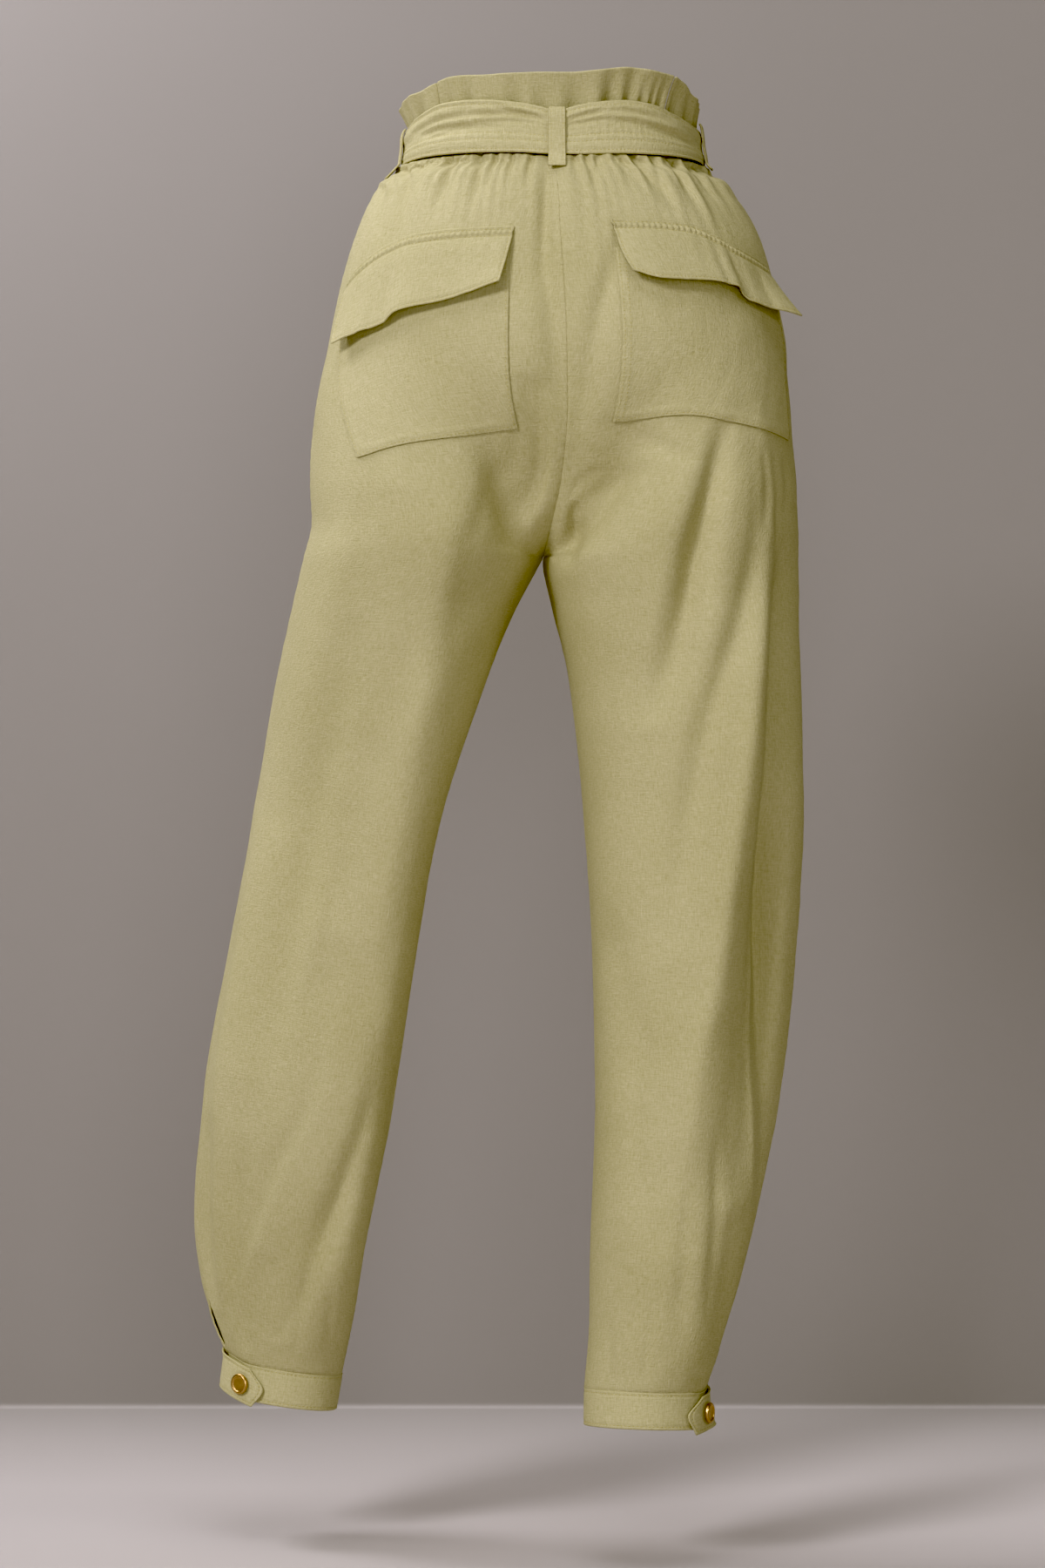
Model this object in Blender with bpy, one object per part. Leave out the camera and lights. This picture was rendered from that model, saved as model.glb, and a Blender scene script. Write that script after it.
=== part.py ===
"""Paperbag-waist trousers in crisp linen, held in the hollow shape they have when worn.

Two front panels and two back panels make the legs and hips. They are gathered onto a waistband that
stands up as a frill above a tie belt. Belt loops hold the belt. The back carries two patch pockets
with flaps, the front two slanted pocket mouths. Each leg narrows into a cuff band, whose pointed end
laps over a vent and is held by a metal button.

Frame: +Z up, -Y the front, +X the wearer's left. The origin is the middle of the waist, under the
belt. Lengths below are in millimetres, and turned into metres when a mesh is made.
"""

import functools
import math
import random

import bpy
from mathutils import Vector

MM = 0.001
LEFT, RIGHT = 1, -1
SIDES = {"left": LEFT, "right": RIGHT}

# Cloth
WALL = 1.6  # one layer of cloth with its turnings
DOUBLE_WALL = 2.2  # waistband, belt and cuffs are folded double
SEAM_GAP = 0.3
LAY_GAP = 0.9  # between a panel and a pocket sewn on it


def table(columns, *rows):
    """A table as a list of dictionaries, one for each row, with the columns' names as keys."""
    return [dict(zip(columns.split(), row)) for row in rows]


# Hips, from the waist seam down to the crotch. seam_x is where the centre seam runs.
HIPS = table(
    "z left right front back seam_x",
    (-27, 115.5, 113.5, 91, 91, 1),
    (-36, 119, 117, 92, 92.5, 0),
    (-44, 134, 133, 96, 99, -1),
    (-54, 144, 144, 100, 105, -2),
    (-66, 151, 153, 104, 110, -3),
    (-91, 161, 164, 108, 117, -4),
    (-119, 169, 172, 111, 123, -6),
    (-175, 181, 184, 114, 131, -9),
    (-231, 192, 190, 115, 134, -10),
    (-287, 195, 194, 113, 132, -5),
    (-315, 194, 195, 111, 129, 1),
    (-345, 201, 196, 109, 124, 9),
)
# Legs, from the hips to the cuff. Sections lean with the leg (dz over dx and dz over dy), and
# turn is how far the side seam has swung to the back, in degrees.
LEGS = {
    LEFT: table(
        "z outer_x inner_x front_y back_y lean_x lean_y turn",
        (-165, 179, -8, -113, 130, 0, 0, 0),
        (-231, 192, -10, -115, 134, 0, 0, 0),
        (-287, 195, -5, -113, 131, 0, 0, 0),
        (-315, 194, 1, -111, 128, 0, 0, 0),
        (-345, 201, 10, -108, 122, 0, 0, 0),
        (-385, 210, 32, -105, 112, 0.03, 0, 0),
        (-441, 222, 56, -102, 97, 0.08, -0.02, 2),
        (-553, 242, 93, -101, 72, 0.14, -0.03, 6),
        (-666, 263, 113, -108, 56, 0.15, -0.03, 10),
        (-781, 285, 131, -120, 38, 0.15, -0.03, 14),
        (-896, 295, 154, -131, 6, 0.15, -0.02, 18),
        (-940, 290, 161, -130, -10, 0.15, -0.01, 20),
        (-1001, 269, 173, -121, -34, 0.15, 0, 23),
    ),
    RIGHT: table(
        "z outer_x inner_x front_y back_y lean_x lean_y turn",
        (-165, -182, -8, -113, 130, 0, 0, 0),
        (-231, -190, -10, -115, 134, 0, 0, 0),
        (-287, -194, -5, -113, 131, 0, 0, 0),
        (-345, -196, 9, -106, 123, 0, 0, 0),
        (-385, -196, 1, -100, 119, 0, 0.01, 0),
        (-441, -197, -12, -91, 113, 0.01, 0.02, 0),
        (-553, -199, -24, -74, 106, 0.02, 0.03, 0),
        (-666, -193, -31, -61, 104, 0.02, 0.04, -2),
        (-781, -179, -33, -49, 106, 0.03, 0.05, -6),
        (-896, -153, -29, -28, 100, 0.03, 0.06, -11),
        (-953, -137, -28, -13, 92, 0.03, 0.07, -14),
        (-1006, -120, -24, -1, 83, 0.03, 0.07, -16),
    ),
}
WAIST_SEAM_Z = HIPS[0]["z"]
CROTCH_Z = HIPS[-1]["z"]
SEAM_RISE = 125  # height over which the centre seam bends under the body
SEAM_POWER = 2.0  # roundness of that bend
SEAM_SPREAD = 0.18  # how far from the seam the bend dies out, in a
SIDE_RISE = 180  # height over which the sides of the hips turn into legs
HIP_POWER = 2.25  # roundness of the hips seen from above
HEM_Z = {side: LEGS[side][-1]["z"] for side in LEGS}

# Long soft folds. Each runs from one place (a, z) to another. a goes round a leg, from 0 at the
# front seam over 0.5 at the side to 1 at the back seam. A depth below 0 is a trough.
FOLDS = {
    LEFT: table(
        "a_top z_top a_end z_end width depth",
        (0.985, -40, 0.955, -150, 12, -3.5),
        (0.93, -270, 0.76, -520, 30, -4),
        (0.97, -330, 0.88, -470, 22, -4),
        (0.72, -480, 0.64, -760, 30, -4),
        (0.60, -560, 0.565, -900, 24, 4),
        (0.78, -640, 0.60, -930, 30, -5),
        (0.90, -800, 0.68, -975, 22, -4),
        (0.545, -800, 0.53, -960, 13, -6),
        (0.34, -780, 0.38, -970, 16, -7),
        (0.70, -900, 0.60, -990, 12, -4),
        (0.20, -250, 0.27, -620, 34, -5),
        (0.10, -330, 0.20, -520, 24, -5),
        (0.30, -520, 0.36, -880, 30, 5),
        (0.16, -700, 0.34, -960, 24, -5),
    ),
    RIGHT: table(
        "a_top z_top a_end z_end width depth",
        (0.97, -300, 0.86, -400, 20, -5),
        (0.79, -255, 0.85, -400, 17, -6),
        (0.70, -255, 0.77, -480, 18, -7),
        (0.64, -300, 0.665, -720, 20, 6),
        (0.585, -330, 0.60, -720, 22, -13),
        (0.60, -600, 0.61, -900, 15, 8),
        (0.565, -580, 0.575, -880, 12, -9),
        (0.88, -640, 0.76, -900, 28, -3),
        (0.40, -780, 0.45, -970, 16, -7),
        (0.64, -860, 0.60, -985, 14, -4),
        (0.20, -250, 0.27, -620, 34, -5),
        (0.10, -330, 0.20, -520, 24, -5),
        (0.32, -520, 0.36, -880, 30, 5),
        (0.14, -700, 0.32, -960, 24, -5),
    ),
}
BACK_COLUMNS, FRONT_COLUMNS = 14, 12  # columns of points round a leg's two panels
FOLD_SPREAD = 0.3  # a fold is left out further away than this, in a
STEP_A, STEP_Z = 0.006, 1.5  # steps to either side when a direction is measured on the form

# Gathers under the waistband: how many on each half panel, and how they swell and die away
BACK_GATHERS = 14
FRONT_GATHERS = 8
GATHER_SEEDS = {LEFT: 3, RIGHT: 8}
GATHER_HEIGHT = 2.8
GATHER_UNEVEN = 0.6  # how much wider the widest is than the narrowest, which is 0.7 of the mean
GATHER_TOP_Z, GATHER_SWELL_Z, GATHER_END_Z = -29, -42, -170
GATHER_REACH = 30
POCKET_MOUTH_A = 0.25  # the front is nearly flat beyond this, where the slanted pockets are
MOUTH_BLEND_A = 0.06
SEAM_CALM_A = 0.05  # folds fade out this close to a seam

# Patch pockets and flaps on the back, from the inner edge (share 0) to the outer edge (share 1).
# low_lift is how far the lower edge stands off, more and more below a small root lift.
ROOT_LIFT, ROOT_SHARE, LIFT_POWER = 2, 1 / 3, 1.6
BACK_POCKETS = {
    LEFT: table(
        "share top_a top_z low_a low_z low_lift",
        (0.0, 0.936, -112, 0.943, -250, 0),
        (0.35, 0.830, -118, 0.840, -257, 0),
        (0.7, 0.720, -132, 0.745, -263, 0),
        (1.0, 0.605, -150, 0.668, -272, 0),
    ),
    RIGHT: table(
        "share top_a top_z low_a low_z low_lift",
        (0.0, 0.930, -108, 0.936, -243, 0),
        (0.45, 0.790, -112, 0.800, -238, 0),
        (0.7, 0.700, -122, 0.700, -244, 0),
        (1.0, 0.575, -138, 0.574, -253, 0),
    ),
}
BACK_FLAPS = {
    LEFT: table(
        "share top_a top_z low_a low_z low_lift",
        (0.0, 0.943, -92, 0.926, -137, 9),
        (0.25, 0.860, -93, 0.856, -146, 5),
        (0.5, 0.770, -96, 0.778, -152, 7),
        (0.65, 0.720, -102, 0.738, -160, 4),
        (0.8, 0.668, -111, 0.695, -167, 7),
        (1.0, 0.603, -126, 0.640, -172, 10),
    ),
    RIGHT: table(
        "share top_a top_z low_a low_z low_lift",
        (0.0, 0.933, -86, 0.913, -128, 6),
        (0.2, 0.875, -86, 0.868, -134, 8),
        (0.45, 0.800, -88, 0.790, -134, 7),
        (0.62, 0.745, -95, 0.735, -137, 8),
        (0.75, 0.700, -102, 0.700, -147, 4),
        (1.0, 0.590, -114, 0.590, -157, 18),
    ),
}

# The turned edge of a slanted front pocket mouth, from the waistband to the side seam
FRONT_POCKET_EDGE = table(
    "share top_a top_z low_a low_z low_lift",
    (0, 0.27, -52, 0.455, -196, 0),
    (1, 0.296, -52, 0.481, -196, 0),
)

# Waistband with its frill. It is an ellipse round seam_x, made a little square.
BAND_HALF_WIDTH, BAND_HALF_DEPTH = 115.3, 91.5
BAND_SEAM_DEG = 48  # the back and front bands meet this far from the centre back
BACK_WAVES, FRONT_WAVES = 7, 12
CASING_WAVE, FRILL_WAVE = 0.7, 2.6

# Edges of the belt and the frill round the waist, and how much they lean out: the frill at its top,
# the belt at its bottom. 0 degrees is the front, 90 the wearer's left, 180 the back.
WAIST_LINES = table(
    "degrees belt_top belt_bottom belt_flare frill_top frill_flare",
    (0, -4, -37, 5, 17, 4),
    (60, -6, -36, 6, 16, 6),
    (92, -6, -30, 4, 17, 8),
    (114, 1.3, -29.5, 4, 21, 7),
    (127, 6.7, -29, 4, 25.5, 6),
    (136, 10, -29, 4, 28.5, 6),
    (148, 11, -29, 4, 31, 5),
    (160, 10, -29.5, 4, 31, 5),
    (170, 7.5, -30, 3.5, 30.5, 5),
    (176, 4.6, -31, 3.5, 31, 4),
    (181, 1.8, -31.5, 3.5, 31.5, 4),
    (187, 5.4, -31.5, 3.5, 32, 4),
    (194, 8.4, -31, 3.5, 33, 4),
    (206, 10.6, -30, 4, 35, 4),
    (219, 8.5, -29.5, 5, 33.5, 4),
    (231, 3.2, -29, 5, 30.5, 4),
    (249, -2.5, -29, 5, 20.5, 3),
    (270, -5, -31, 5, 19, 3),
    (300, -5, -36, 6, 17, 4),
    (360, -4, -37, 5, 17, 4),
)
BELT_CLEAR = 1.7
BELT_COLUMNS = 48
BELT_CREASES = table(
    "share lift",
    (0.0, 0.2),
    (0.25, 1.0),
    (0.5, 0.2),
    (0.75, 1.6),
    (1.0, 0.4),
)
LOOP_WIDTH = 12
LOOP_WALL = 1.6
LOOP_CLEAR = 1.0  # between the belt and a loop
LOOP_ROOT = 3.4  # how far out a loop starts from the waistband
LOOP_OVER = 1.5  # how far above the belt's edge it crosses
BELT_LOOPS = table(
    "name degrees bulge top bottom kick",  # kick is how much further out its lower end lies
    ("belt_loop_back", 181, 0, 2.2, -42, 4),
    ("belt_loop_left", 97, 0, -4, -41.5, 7),
    ("belt_loop_right", 262, 0, 0, -34, 4),
    ("belt_loop_front_left", 32, 0.5, -2, -44, 6),
    ("belt_loop_front_right", 328, 0.5, -2, -44, 6),
)
KNOT_MIDDLE = Vector((1, -107.5, -19))
KNOT_SIZE = Vector((19, 9, 19))
TAIL_TOP_Z, TAIL_LENGTH = -42, 235
TAIL_RIPPLE, TAIL_SLANT, TAIL_CURL = 2.2, 8, 6
TAIL_LINE = table(
    "z inner_x width front_y",
    (-42, 1, 19, -107),
    (-60, 2, 24, -114),
    (-92, 6, 31, -120),
    (-152, 12, 38, -124),
    (-217, 17, 42, -126),
    (-277, 20, 44, -125),
)

# Cuffs. The band starts behind the vent, goes once round the leg and laps over its own start.
CUFF_HEIGHT = 28
CUFF_GROW = 0.6
LAP_GROW = 3.4  # how much further out the lapping end lies
LAP_RISE = 8  # the band and the hem climb this much as they come round to the vent
LAP_SLOPE = 0.21  # the lapping end slants down again
LAP_FLARE = {LEFT: 0, RIGHT: 7}  # its lower edge stands out by this much at the vent
LAP_FLARE_ALONG, LAP_FLARE_WIDTH = 4, 14
HEM_WIDENS, CUFF_NARROWS = 0.33, 0.02  # the leg widens above the hem, the cuff narrows below it
RISE_START, RISE_END = -60, -20  # where the band climbs, in mm before the vent
BAND_START = 1  # where it starts behind the vent
START_RISE, START_RISE_END = 5, 30  # its start is pulled up too, as far as this from the vent
TIP = table("share reach", (0, 29), (0.42, 42), (1, 34))
BUTTON_ALONG = 25.5
BUTTON_RADIUS = 8.75
VENT_HEIGHT = 46
VENT_WIDTH = 7
PLACKET_HALF_WIDTH, PLACKET_WALL, PLACKET_GAP = 8, 1.2, 1.0


def smooth(rows, column, value, key="z"):
    """A column of a table, on a curve through its rows that never overshoots them."""
    rows = sorted(rows, key=lambda row: row[key])
    places = [row[key] for row in rows]
    if value <= places[0]:
        return rows[0][column]
    if value >= places[-1]:
        return rows[-1][column]
    i = next(k for k in range(len(rows) - 1) if value <= places[k + 1])

    def slope(k):
        return (rows[k + 1][column] - rows[k][column]) / (places[k + 1] - places[k])

    def tangent(k):
        if k in (0, len(rows) - 1):
            return slope(min(k, len(rows) - 2))
        before, after = slope(k - 1), slope(k)
        return 0 if before * after <= 0 else 2 * before * after / (before + after)

    step = places[i + 1] - places[i]
    t = (value - places[i]) / step
    start, end = rows[i][column], rows[i + 1][column]
    return (
        start
        + (end - start) * (3 * t**2 - 2 * t**3)
        + step * (t**3 - 2 * t**2 + t) * tangent(i)
        + step * (t**3 - t**2) * tangent(i + 1)
    )


def eased(t):
    """0 to 1 with soft ends."""
    t = min(max(t, 0), 1)
    return t * t * (3 - 2 * t)


def rounded(value, power):
    """A sine or cosine bent so that an ellipse becomes a little squarer."""
    return math.copysign(abs(value) ** (2 / power), value)


def spread(first, last, count):
    """Evenly spaced values, with both ends."""
    return [first + (last - first) * i / count for i in range(count + 1)]


@functools.lru_cache(maxsize=None)
def hips_at(z):
    return {name: smooth(HIPS, name, z) for name in HIPS[0]}


@functools.lru_cache(maxsize=None)
def leg_at(side, z):
    return {name: smooth(LEGS[side], name, z) for name in LEGS[side][0]}


def leg_share(a, z):
    """How much of a section belongs to the leg's loop: 0 at the hips, 1 from the crotch down."""
    reach = min(max((CROTCH_Z + SEAM_RISE - z) / SEAM_RISE, 0), 1)
    at_seam = 1 - (1 - reach**SEAM_POWER) ** (1 / SEAM_POWER)
    at_side = eased((CROTCH_Z + SIDE_RISE - z) / SIDE_RISE)
    return at_seam + (at_side - at_seam) * eased(min(a, 1 - a) / SEAM_SPREAD)


@functools.lru_cache(maxsize=None)
def form_xyz(side, a, z):
    """The plain outer form of one half of the trousers, with no folds."""
    angle = math.pi * a
    hip = hips_at(z)
    edge = hip["left"] if side == LEFT else hip["right"]
    half_width = edge - side * hip["seam_x"]
    depth = hip["front"] if a < 0.5 else hip["back"]
    hip_x = hip["seam_x"] + side * half_width * rounded(math.sin(angle), HIP_POWER)
    hip_y = -depth * rounded(math.cos(angle), HIP_POWER)
    share = leg_share(a, z)
    if share == 0:
        return hip_x + side * SEAM_GAP / 2, hip_y, z
    leg = leg_at(side, z)
    inner_x = leg["inner_x"] if z < CROTCH_Z else hip["seam_x"]
    middle_x = (leg["outer_x"] + inner_x) / 2
    middle_y = (leg["front_y"] + leg["back_y"]) / 2
    around = 2 * angle + math.radians(leg["turn"]) * math.sin(angle) ** 2
    leg_x = middle_x - (leg["outer_x"] - inner_x) / 2 * math.cos(around)
    leg_y = middle_y - (leg["back_y"] - leg["front_y"]) / 2 * math.sin(around)
    x = hip_x + (leg_x - hip_x) * share
    y = hip_y + (leg_y - hip_y) * share
    lean = leg["lean_x"] * (x - middle_x) + leg["lean_y"] * (y - middle_y)
    return x + side * SEAM_GAP / 2, y, z + lean


def form(side, a, z):
    return Vector(form_xyz(side, a, z))


def stretch_at(side, a, z, step=STEP_A):
    """Millimetres round the form for each unit of a."""
    return (form(side, a + step, z) - form(side, a - step, z)).length / (2 * step)


def gather_edges(first, last, count, seed):
    """Uneven borders between gathers, from first to last."""
    draw = random.Random(seed)
    widths = [0.7 + GATHER_UNEVEN * draw.random() for _ in range(count)]
    edges = [first]
    for width in widths:
        edges.append(edges[-1] + width * (last - first) / sum(widths))
    return edges


GATHERS = {
    side: {
        "front": gather_edges(0, 0.5, FRONT_GATHERS, seed),
        "back": gather_edges(0.5, 1, BACK_GATHERS, seed + 1),
    }
    for side, seed in GATHER_SEEDS.items()
}


def gather(side, a, z):
    """Height of the gathers: round ridges between sharp troughs, each with its own length."""
    if z < GATHER_END_Z or not 0 <= a <= 1:
        return 0
    edges = GATHERS[side]["front" if a < 0.5 else "back"]
    k = next((i for i in range(len(edges) - 1) if a < edges[i + 1]), len(edges) - 2)
    across = (a - edges[k]) / (edges[k + 1] - edges[k])
    height = GATHER_HEIGHT * (0.7 + 0.3 * math.sin(5 * k + side))
    if a < 0.5:
        height *= 1 - 0.8 * eased((a - POCKET_MOUTH_A) / MOUTH_BLEND_A + 0.5)
    reach = GATHER_REACH * (1 + 0.4 * math.sin(7 * k + 2 * side))
    swell = 0.3 + 0.7 * eased((GATHER_TOP_Z - z) / (GATHER_TOP_Z - GATHER_SWELL_Z))
    fade = math.exp(-max(0, GATHER_SWELL_Z - z) / reach)
    return height * swell * fade * (math.sin(math.pi * across) ** 2 - 0.35)


def fold(side, a, z):
    """The long folds' depth at one place."""
    total = 0
    for row in FOLDS[side]:
        along = (row["z_top"] - z) / (row["z_top"] - row["z_end"])
        line_a = row["a_top"] + (row["a_end"] - row["a_top"]) * along
        if not 0 < along < 1 or abs(a - line_a) > FOLD_SPREAD:
            continue
        across = (a - line_a) * stretch_at(side, line_a, z) / row["width"]
        total += row["depth"] * math.exp(-across * across) * math.sin(math.pi * along) ** 0.7
    return total * eased(min(a, 1 - a) / SEAM_CALM_A)


@functools.lru_cache(maxsize=None)
def shaped_xyz(side, a, z):
    if a in (0, 1) and z > CROTCH_Z:
        outward = Vector((0, -1 if a == 0 else 1, 0))
    else:
        along = form(side, min(a + STEP_A, 1), z) - form(side, max(a - STEP_A, 0), z)
        outward = Vector((along.y, -along.x, 0)).normalized() * side
    return tuple(form(side, a, z) + outward * (fold(side, a, z) + gather(side, a, z)))


def shaped(side, a, z):
    """The folded and gathered outer surface."""
    return Vector(shaped_xyz(side, a, z))


def outward_normal(side, a, z):
    """The surface's outward direction. It stays in the centre seam's plane along that seam."""
    around = shaped(side, min(a + STEP_A, 1), z) - shaped(side, max(a - STEP_A, 0), z)
    if z <= CROTCH_Z and a < STEP_A:
        around = shaped(side, a + STEP_A, z) - shaped(side, 1 - STEP_A, z)
    if z <= CROTCH_Z and a > 1 - STEP_A:
        around = shaped(side, STEP_A, z) - shaped(side, a - STEP_A, z)
    high_z = z if z <= CROTCH_Z < z + STEP_Z else z + STEP_Z
    low_z = z if z > CROTCH_Z >= z - STEP_Z else z - STEP_Z
    down = shaped(side, a, low_z) - shaped(side, a, high_z)
    normal = down.cross(around) * side
    if (a < STEP_A or a > 1 - STEP_A) and z > CROTCH_Z:
        normal.x = 0
    return normal.normalized()


def wall_pair(side, a, z, lift=0, wall=WALL):
    """Outer and inner point of a wall whose outer face is lift above the cloth."""
    surface, outward = shaped(side, a, z), outward_normal(side, a, z)
    outer = surface + outward * lift
    inner = surface + outward * (lift - wall)
    if z >= CROTCH_Z:
        plane = hips_at(z)["seam_x"] + side * SEAM_GAP / 2
        outer.x = side * max(side * outer.x, side * plane)
        inner.x = side * max(side * inner.x, side * plane)
    return outer, inner


# Materials and mesh making


def material(name, colour, roughness, metallic=0):
    made = bpy.data.materials.new(name)
    made.use_nodes = True
    shader = made.node_tree.nodes["Principled BSDF"]
    shader.inputs["Base Color"].default_value = (*colour, 1)
    shader.inputs["Roughness"].default_value = roughness
    shader.inputs["Metallic"].default_value = metallic
    return made


def zipped(first, second, first_at, second_at):
    """Faces between two rows of points, which may differ in number."""
    if len(first) == len(second):
        return [(first[i], second[i], second[i + 1], first[i + 1]) for i in range(len(first) - 1)]
    faces, i, j = [], 0, 0
    while i < len(first) - 1 or j < len(second) - 1:
        next_first = first_at[i + 1] if i < len(first) - 1 else math.inf
        next_second = second_at[j + 1] if j < len(second) - 1 else math.inf
        if next_first <= next_second:
            faces.append((first[i], second[j], first[i + 1]))
            i += 1
        else:
            faces.append((first[i], second[j], second[j + 1]))
            j += 1
    return faces


def solid(name, points, faces, finish, smooth_deg=50):
    """One closed mesh object, from points in millimetres."""
    mesh = bpy.data.meshes.new(name)
    mesh.from_pydata([Vector(p) * MM for p in points], [], faces)
    mesh.validate()
    obj = bpy.data.objects.new(name, mesh)
    bpy.context.scene.collection.objects.link(obj)
    bpy.context.view_layer.objects.active = obj
    obj.select_set(True)
    bpy.ops.object.mode_set(mode="EDIT")
    bpy.ops.mesh.select_all(action="SELECT")
    bpy.ops.mesh.normals_make_consistent(inside=False)
    bpy.ops.object.mode_set(mode="OBJECT")
    obj.select_set(False)
    mesh.shade_smooth()
    mesh.set_sharp_from_angle(angle=math.radians(smooth_deg))
    mesh.materials.append(finish)
    return obj


def cloth_piece(name, rows, finish, closed=False):
    """A wall of cloth through rows of (place, outer point, inner point). A closed one is a ring."""
    points, outside, inside, places = [], [], [], []
    for row in rows:
        outside.append([])
        inside.append([])
        places.append([place for place, _, _ in row])
        for _, outer, inner in row:
            outside[-1].append(len(points))
            inside[-1].append(len(points) + 1)
            points += [outer, inner]
        if closed:
            outside[-1].append(outside[-1][0])
            inside[-1].append(inside[-1][0])
            places[-1].append(places[-1][0] + 1)
    faces = []
    for layer in (outside, inside):
        for k in range(len(rows) - 1):
            faces += zipped(layer[k], layer[k + 1], places[k], places[k + 1])
    for k in (0, -1):
        faces += zipped(outside[k], inside[k], places[k], places[k])
    if not closed:
        for k in (0, -1):
            out_edge, in_edge = [r[k] for r in outside], [r[k] for r in inside]
            faces += zipped(out_edge, in_edge, range(len(rows)), range(len(rows)))
    return solid(name, points, faces, finish)


# Legs

GATHERED_ROWS = [-35, -42, -50, -62, -76, -96]
FINE_GATHERS_Z, COARSE_GATHERS_Z = -55, -80  # above these a gather has 4 or 2 columns
BEND_ROWS = 5
THIGH_DROPS = (9, 26)
HEM_ZONE = 60  # the hem's climb towards the vent dies out this far above it


def panel_rows(side):
    """Heights of the panels' rows: close at the gathers and in the bend under the body."""
    hips = spread(GATHERED_ROWS[-1], CROTCH_Z + SEAM_RISE, 4)[1:]
    bend = []
    for step in range(1, BEND_ROWS + 1):
        turned = math.sin(math.radians(90) * step / BEND_ROWS)
        bend.append(CROTCH_Z + SEAM_RISE * (1 - turned ** (2 / SEAM_POWER)))
    thigh = [CROTCH_Z - drop for drop in THIGH_DROPS]
    leg = spread(thigh[-1], HEM_Z[side] + HEM_ZONE, 12)[1:]
    hem = spread(HEM_Z[side] + HEM_ZONE, HEM_Z[side], 4)[1:]
    return [WAIST_SEAM_Z] + GATHERED_ROWS + hips + bend + thigh + leg + hem


def panel_columns(side, part, z):
    """Places round a panel: at each gather's trough, slopes and crest, then evenly."""
    edges = GATHERS[side][part]
    if z > FINE_GATHERS_Z:
        shares = (0, 0.25, 0.5, 0.75)
    elif z > COARSE_GATHERS_Z:
        shares = (0, 0.5)
    elif z > CROTCH_Z:
        return spread(edges[0], edges[-1], 16 if part == "back" else 12)
    else:
        return spread(edges[0], edges[-1], BACK_COLUMNS if part == "back" else FRONT_COLUMNS)
    places = []
    for low, high in zip(edges, edges[1:]):
        places += [low + (high - low) * share for share in shares]
    return places + [edges[-1]]


def seam_trim(side, z):
    """How far a panel stops short of its side seam, in mm: more at the vent above the cuff."""
    up = (z - HEM_Z[side]) / VENT_HEIGHT
    opening = math.sin(math.pi * min(up, 1)) if 0 < up < 1 else 0
    return SEAM_GAP / 2 + VENT_WIDTH / 2 * opening


@functools.lru_cache(maxsize=None)
def cuff_stretch(side):
    """Millimetres round the cuff for each unit of a, at the side seam."""
    return (form(side, 0.6, HEM_Z[side]) - form(side, 0.5, HEM_Z[side])).length / 0.1


def band_drop(along):
    """How far the cuff band's top edge lies below the level hem, along in mm from the vent."""
    climb = LAP_RISE * eased((along - RISE_START) / (RISE_END - RISE_START))
    return LAP_SLOPE * max(0, along - RISE_END) - climb


def hem_rise(along):
    """How much the hem climbs on each side of the vent."""
    if along > 0:
        return START_RISE * eased(1 - along / START_RISE_END)
    return -band_drop(along)


def make_panels(finish):
    for name, side in SIDES.items():
        for part in ("front", "back"):
            rows = []
            for z in panel_rows(side):
                places = panel_columns(side, part, z)
                stretch = stretch_at(side, 0.5, z, 0.02)
                trim = seam_trim(side, z) / stretch
                inseam = SEAM_GAP / 2 / stretch if z <= CROTCH_Z else 0
                if part == "front":
                    low, high = inseam, 0.5 - trim
                else:
                    low, high = 0.5 + trim, 1 - inseam
                first, last = places[0], places[-1]
                near_hem = min(max(1 - (z - HEM_Z[side]) / HEM_ZONE, 0), 1)
                row = []
                for place in places:
                    a = low + (place - first) / (last - first) * (high - low)
                    rise = hem_rise((a - 0.5) * cuff_stretch(side)) * near_hem
                    row.append((a, *wall_pair(side, a, z + rise)))
                rows.append(row)
            cloth_piece(f"{part}_panel_{name}", rows, finish)


# Pockets


def patch(name, side, shape, counts, near_lift, finish):
    """A piece laid on a panel. Its top edge lies near_lift above the panel."""
    across, down = counts
    columns = ("top_a", "top_z", "low_a", "low_z", "low_lift")
    rows = []
    for v in spread(0, 1, down):
        row = []
        for u in spread(0, 1, across):
            top_a, top_z, low_a, low_z, low_lift = [smooth(shape, c, u, "share") for c in columns]
            a = top_a + (low_a - top_a) * v
            z = top_z + (low_z - top_z) * v
            stands = ROOT_LIFT * eased(v / ROOT_SHARE) + low_lift * v**LIFT_POWER if low_lift else 0
            row.append((u, *wall_pair(side, a, z, near_lift + stands + WALL)))
        rows.append(row)
    return cloth_piece(name, rows, finish)


def make_back_pockets(finish):
    for name, side in SIDES.items():
        patch(f"back_pocket_{name}", side, BACK_POCKETS[side], (12, 7), LAY_GAP, finish)
        patch(f"back_flap_{name}", side, BACK_FLAPS[side], (14, 4), LAY_GAP, finish)


def make_front_pockets(finish):
    """The turned edge of each slanted pocket mouth."""
    for name, side in SIDES.items():
        patch(f"front_pocket_edge_{name}", side, FRONT_POCKET_EDGE, (2, 12), LAY_GAP, finish)


# Waistband, belt and loops


def waist_point(degrees, grow, z):
    """A point round the waist. 0 degrees is the front, 90 the wearer's left, 180 the back."""
    angle = math.radians(degrees)
    x = HIPS[0]["seam_x"] + (BAND_HALF_WIDTH + grow) * rounded(math.sin(angle), HIP_POWER)
    y = -(BAND_HALF_DEPTH + grow) * rounded(math.cos(angle), HIP_POWER)
    return Vector((x, y, z))


def waist_line(column, degrees):
    return smooth(WAIST_LINES, column, degrees % 360, "degrees")


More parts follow.
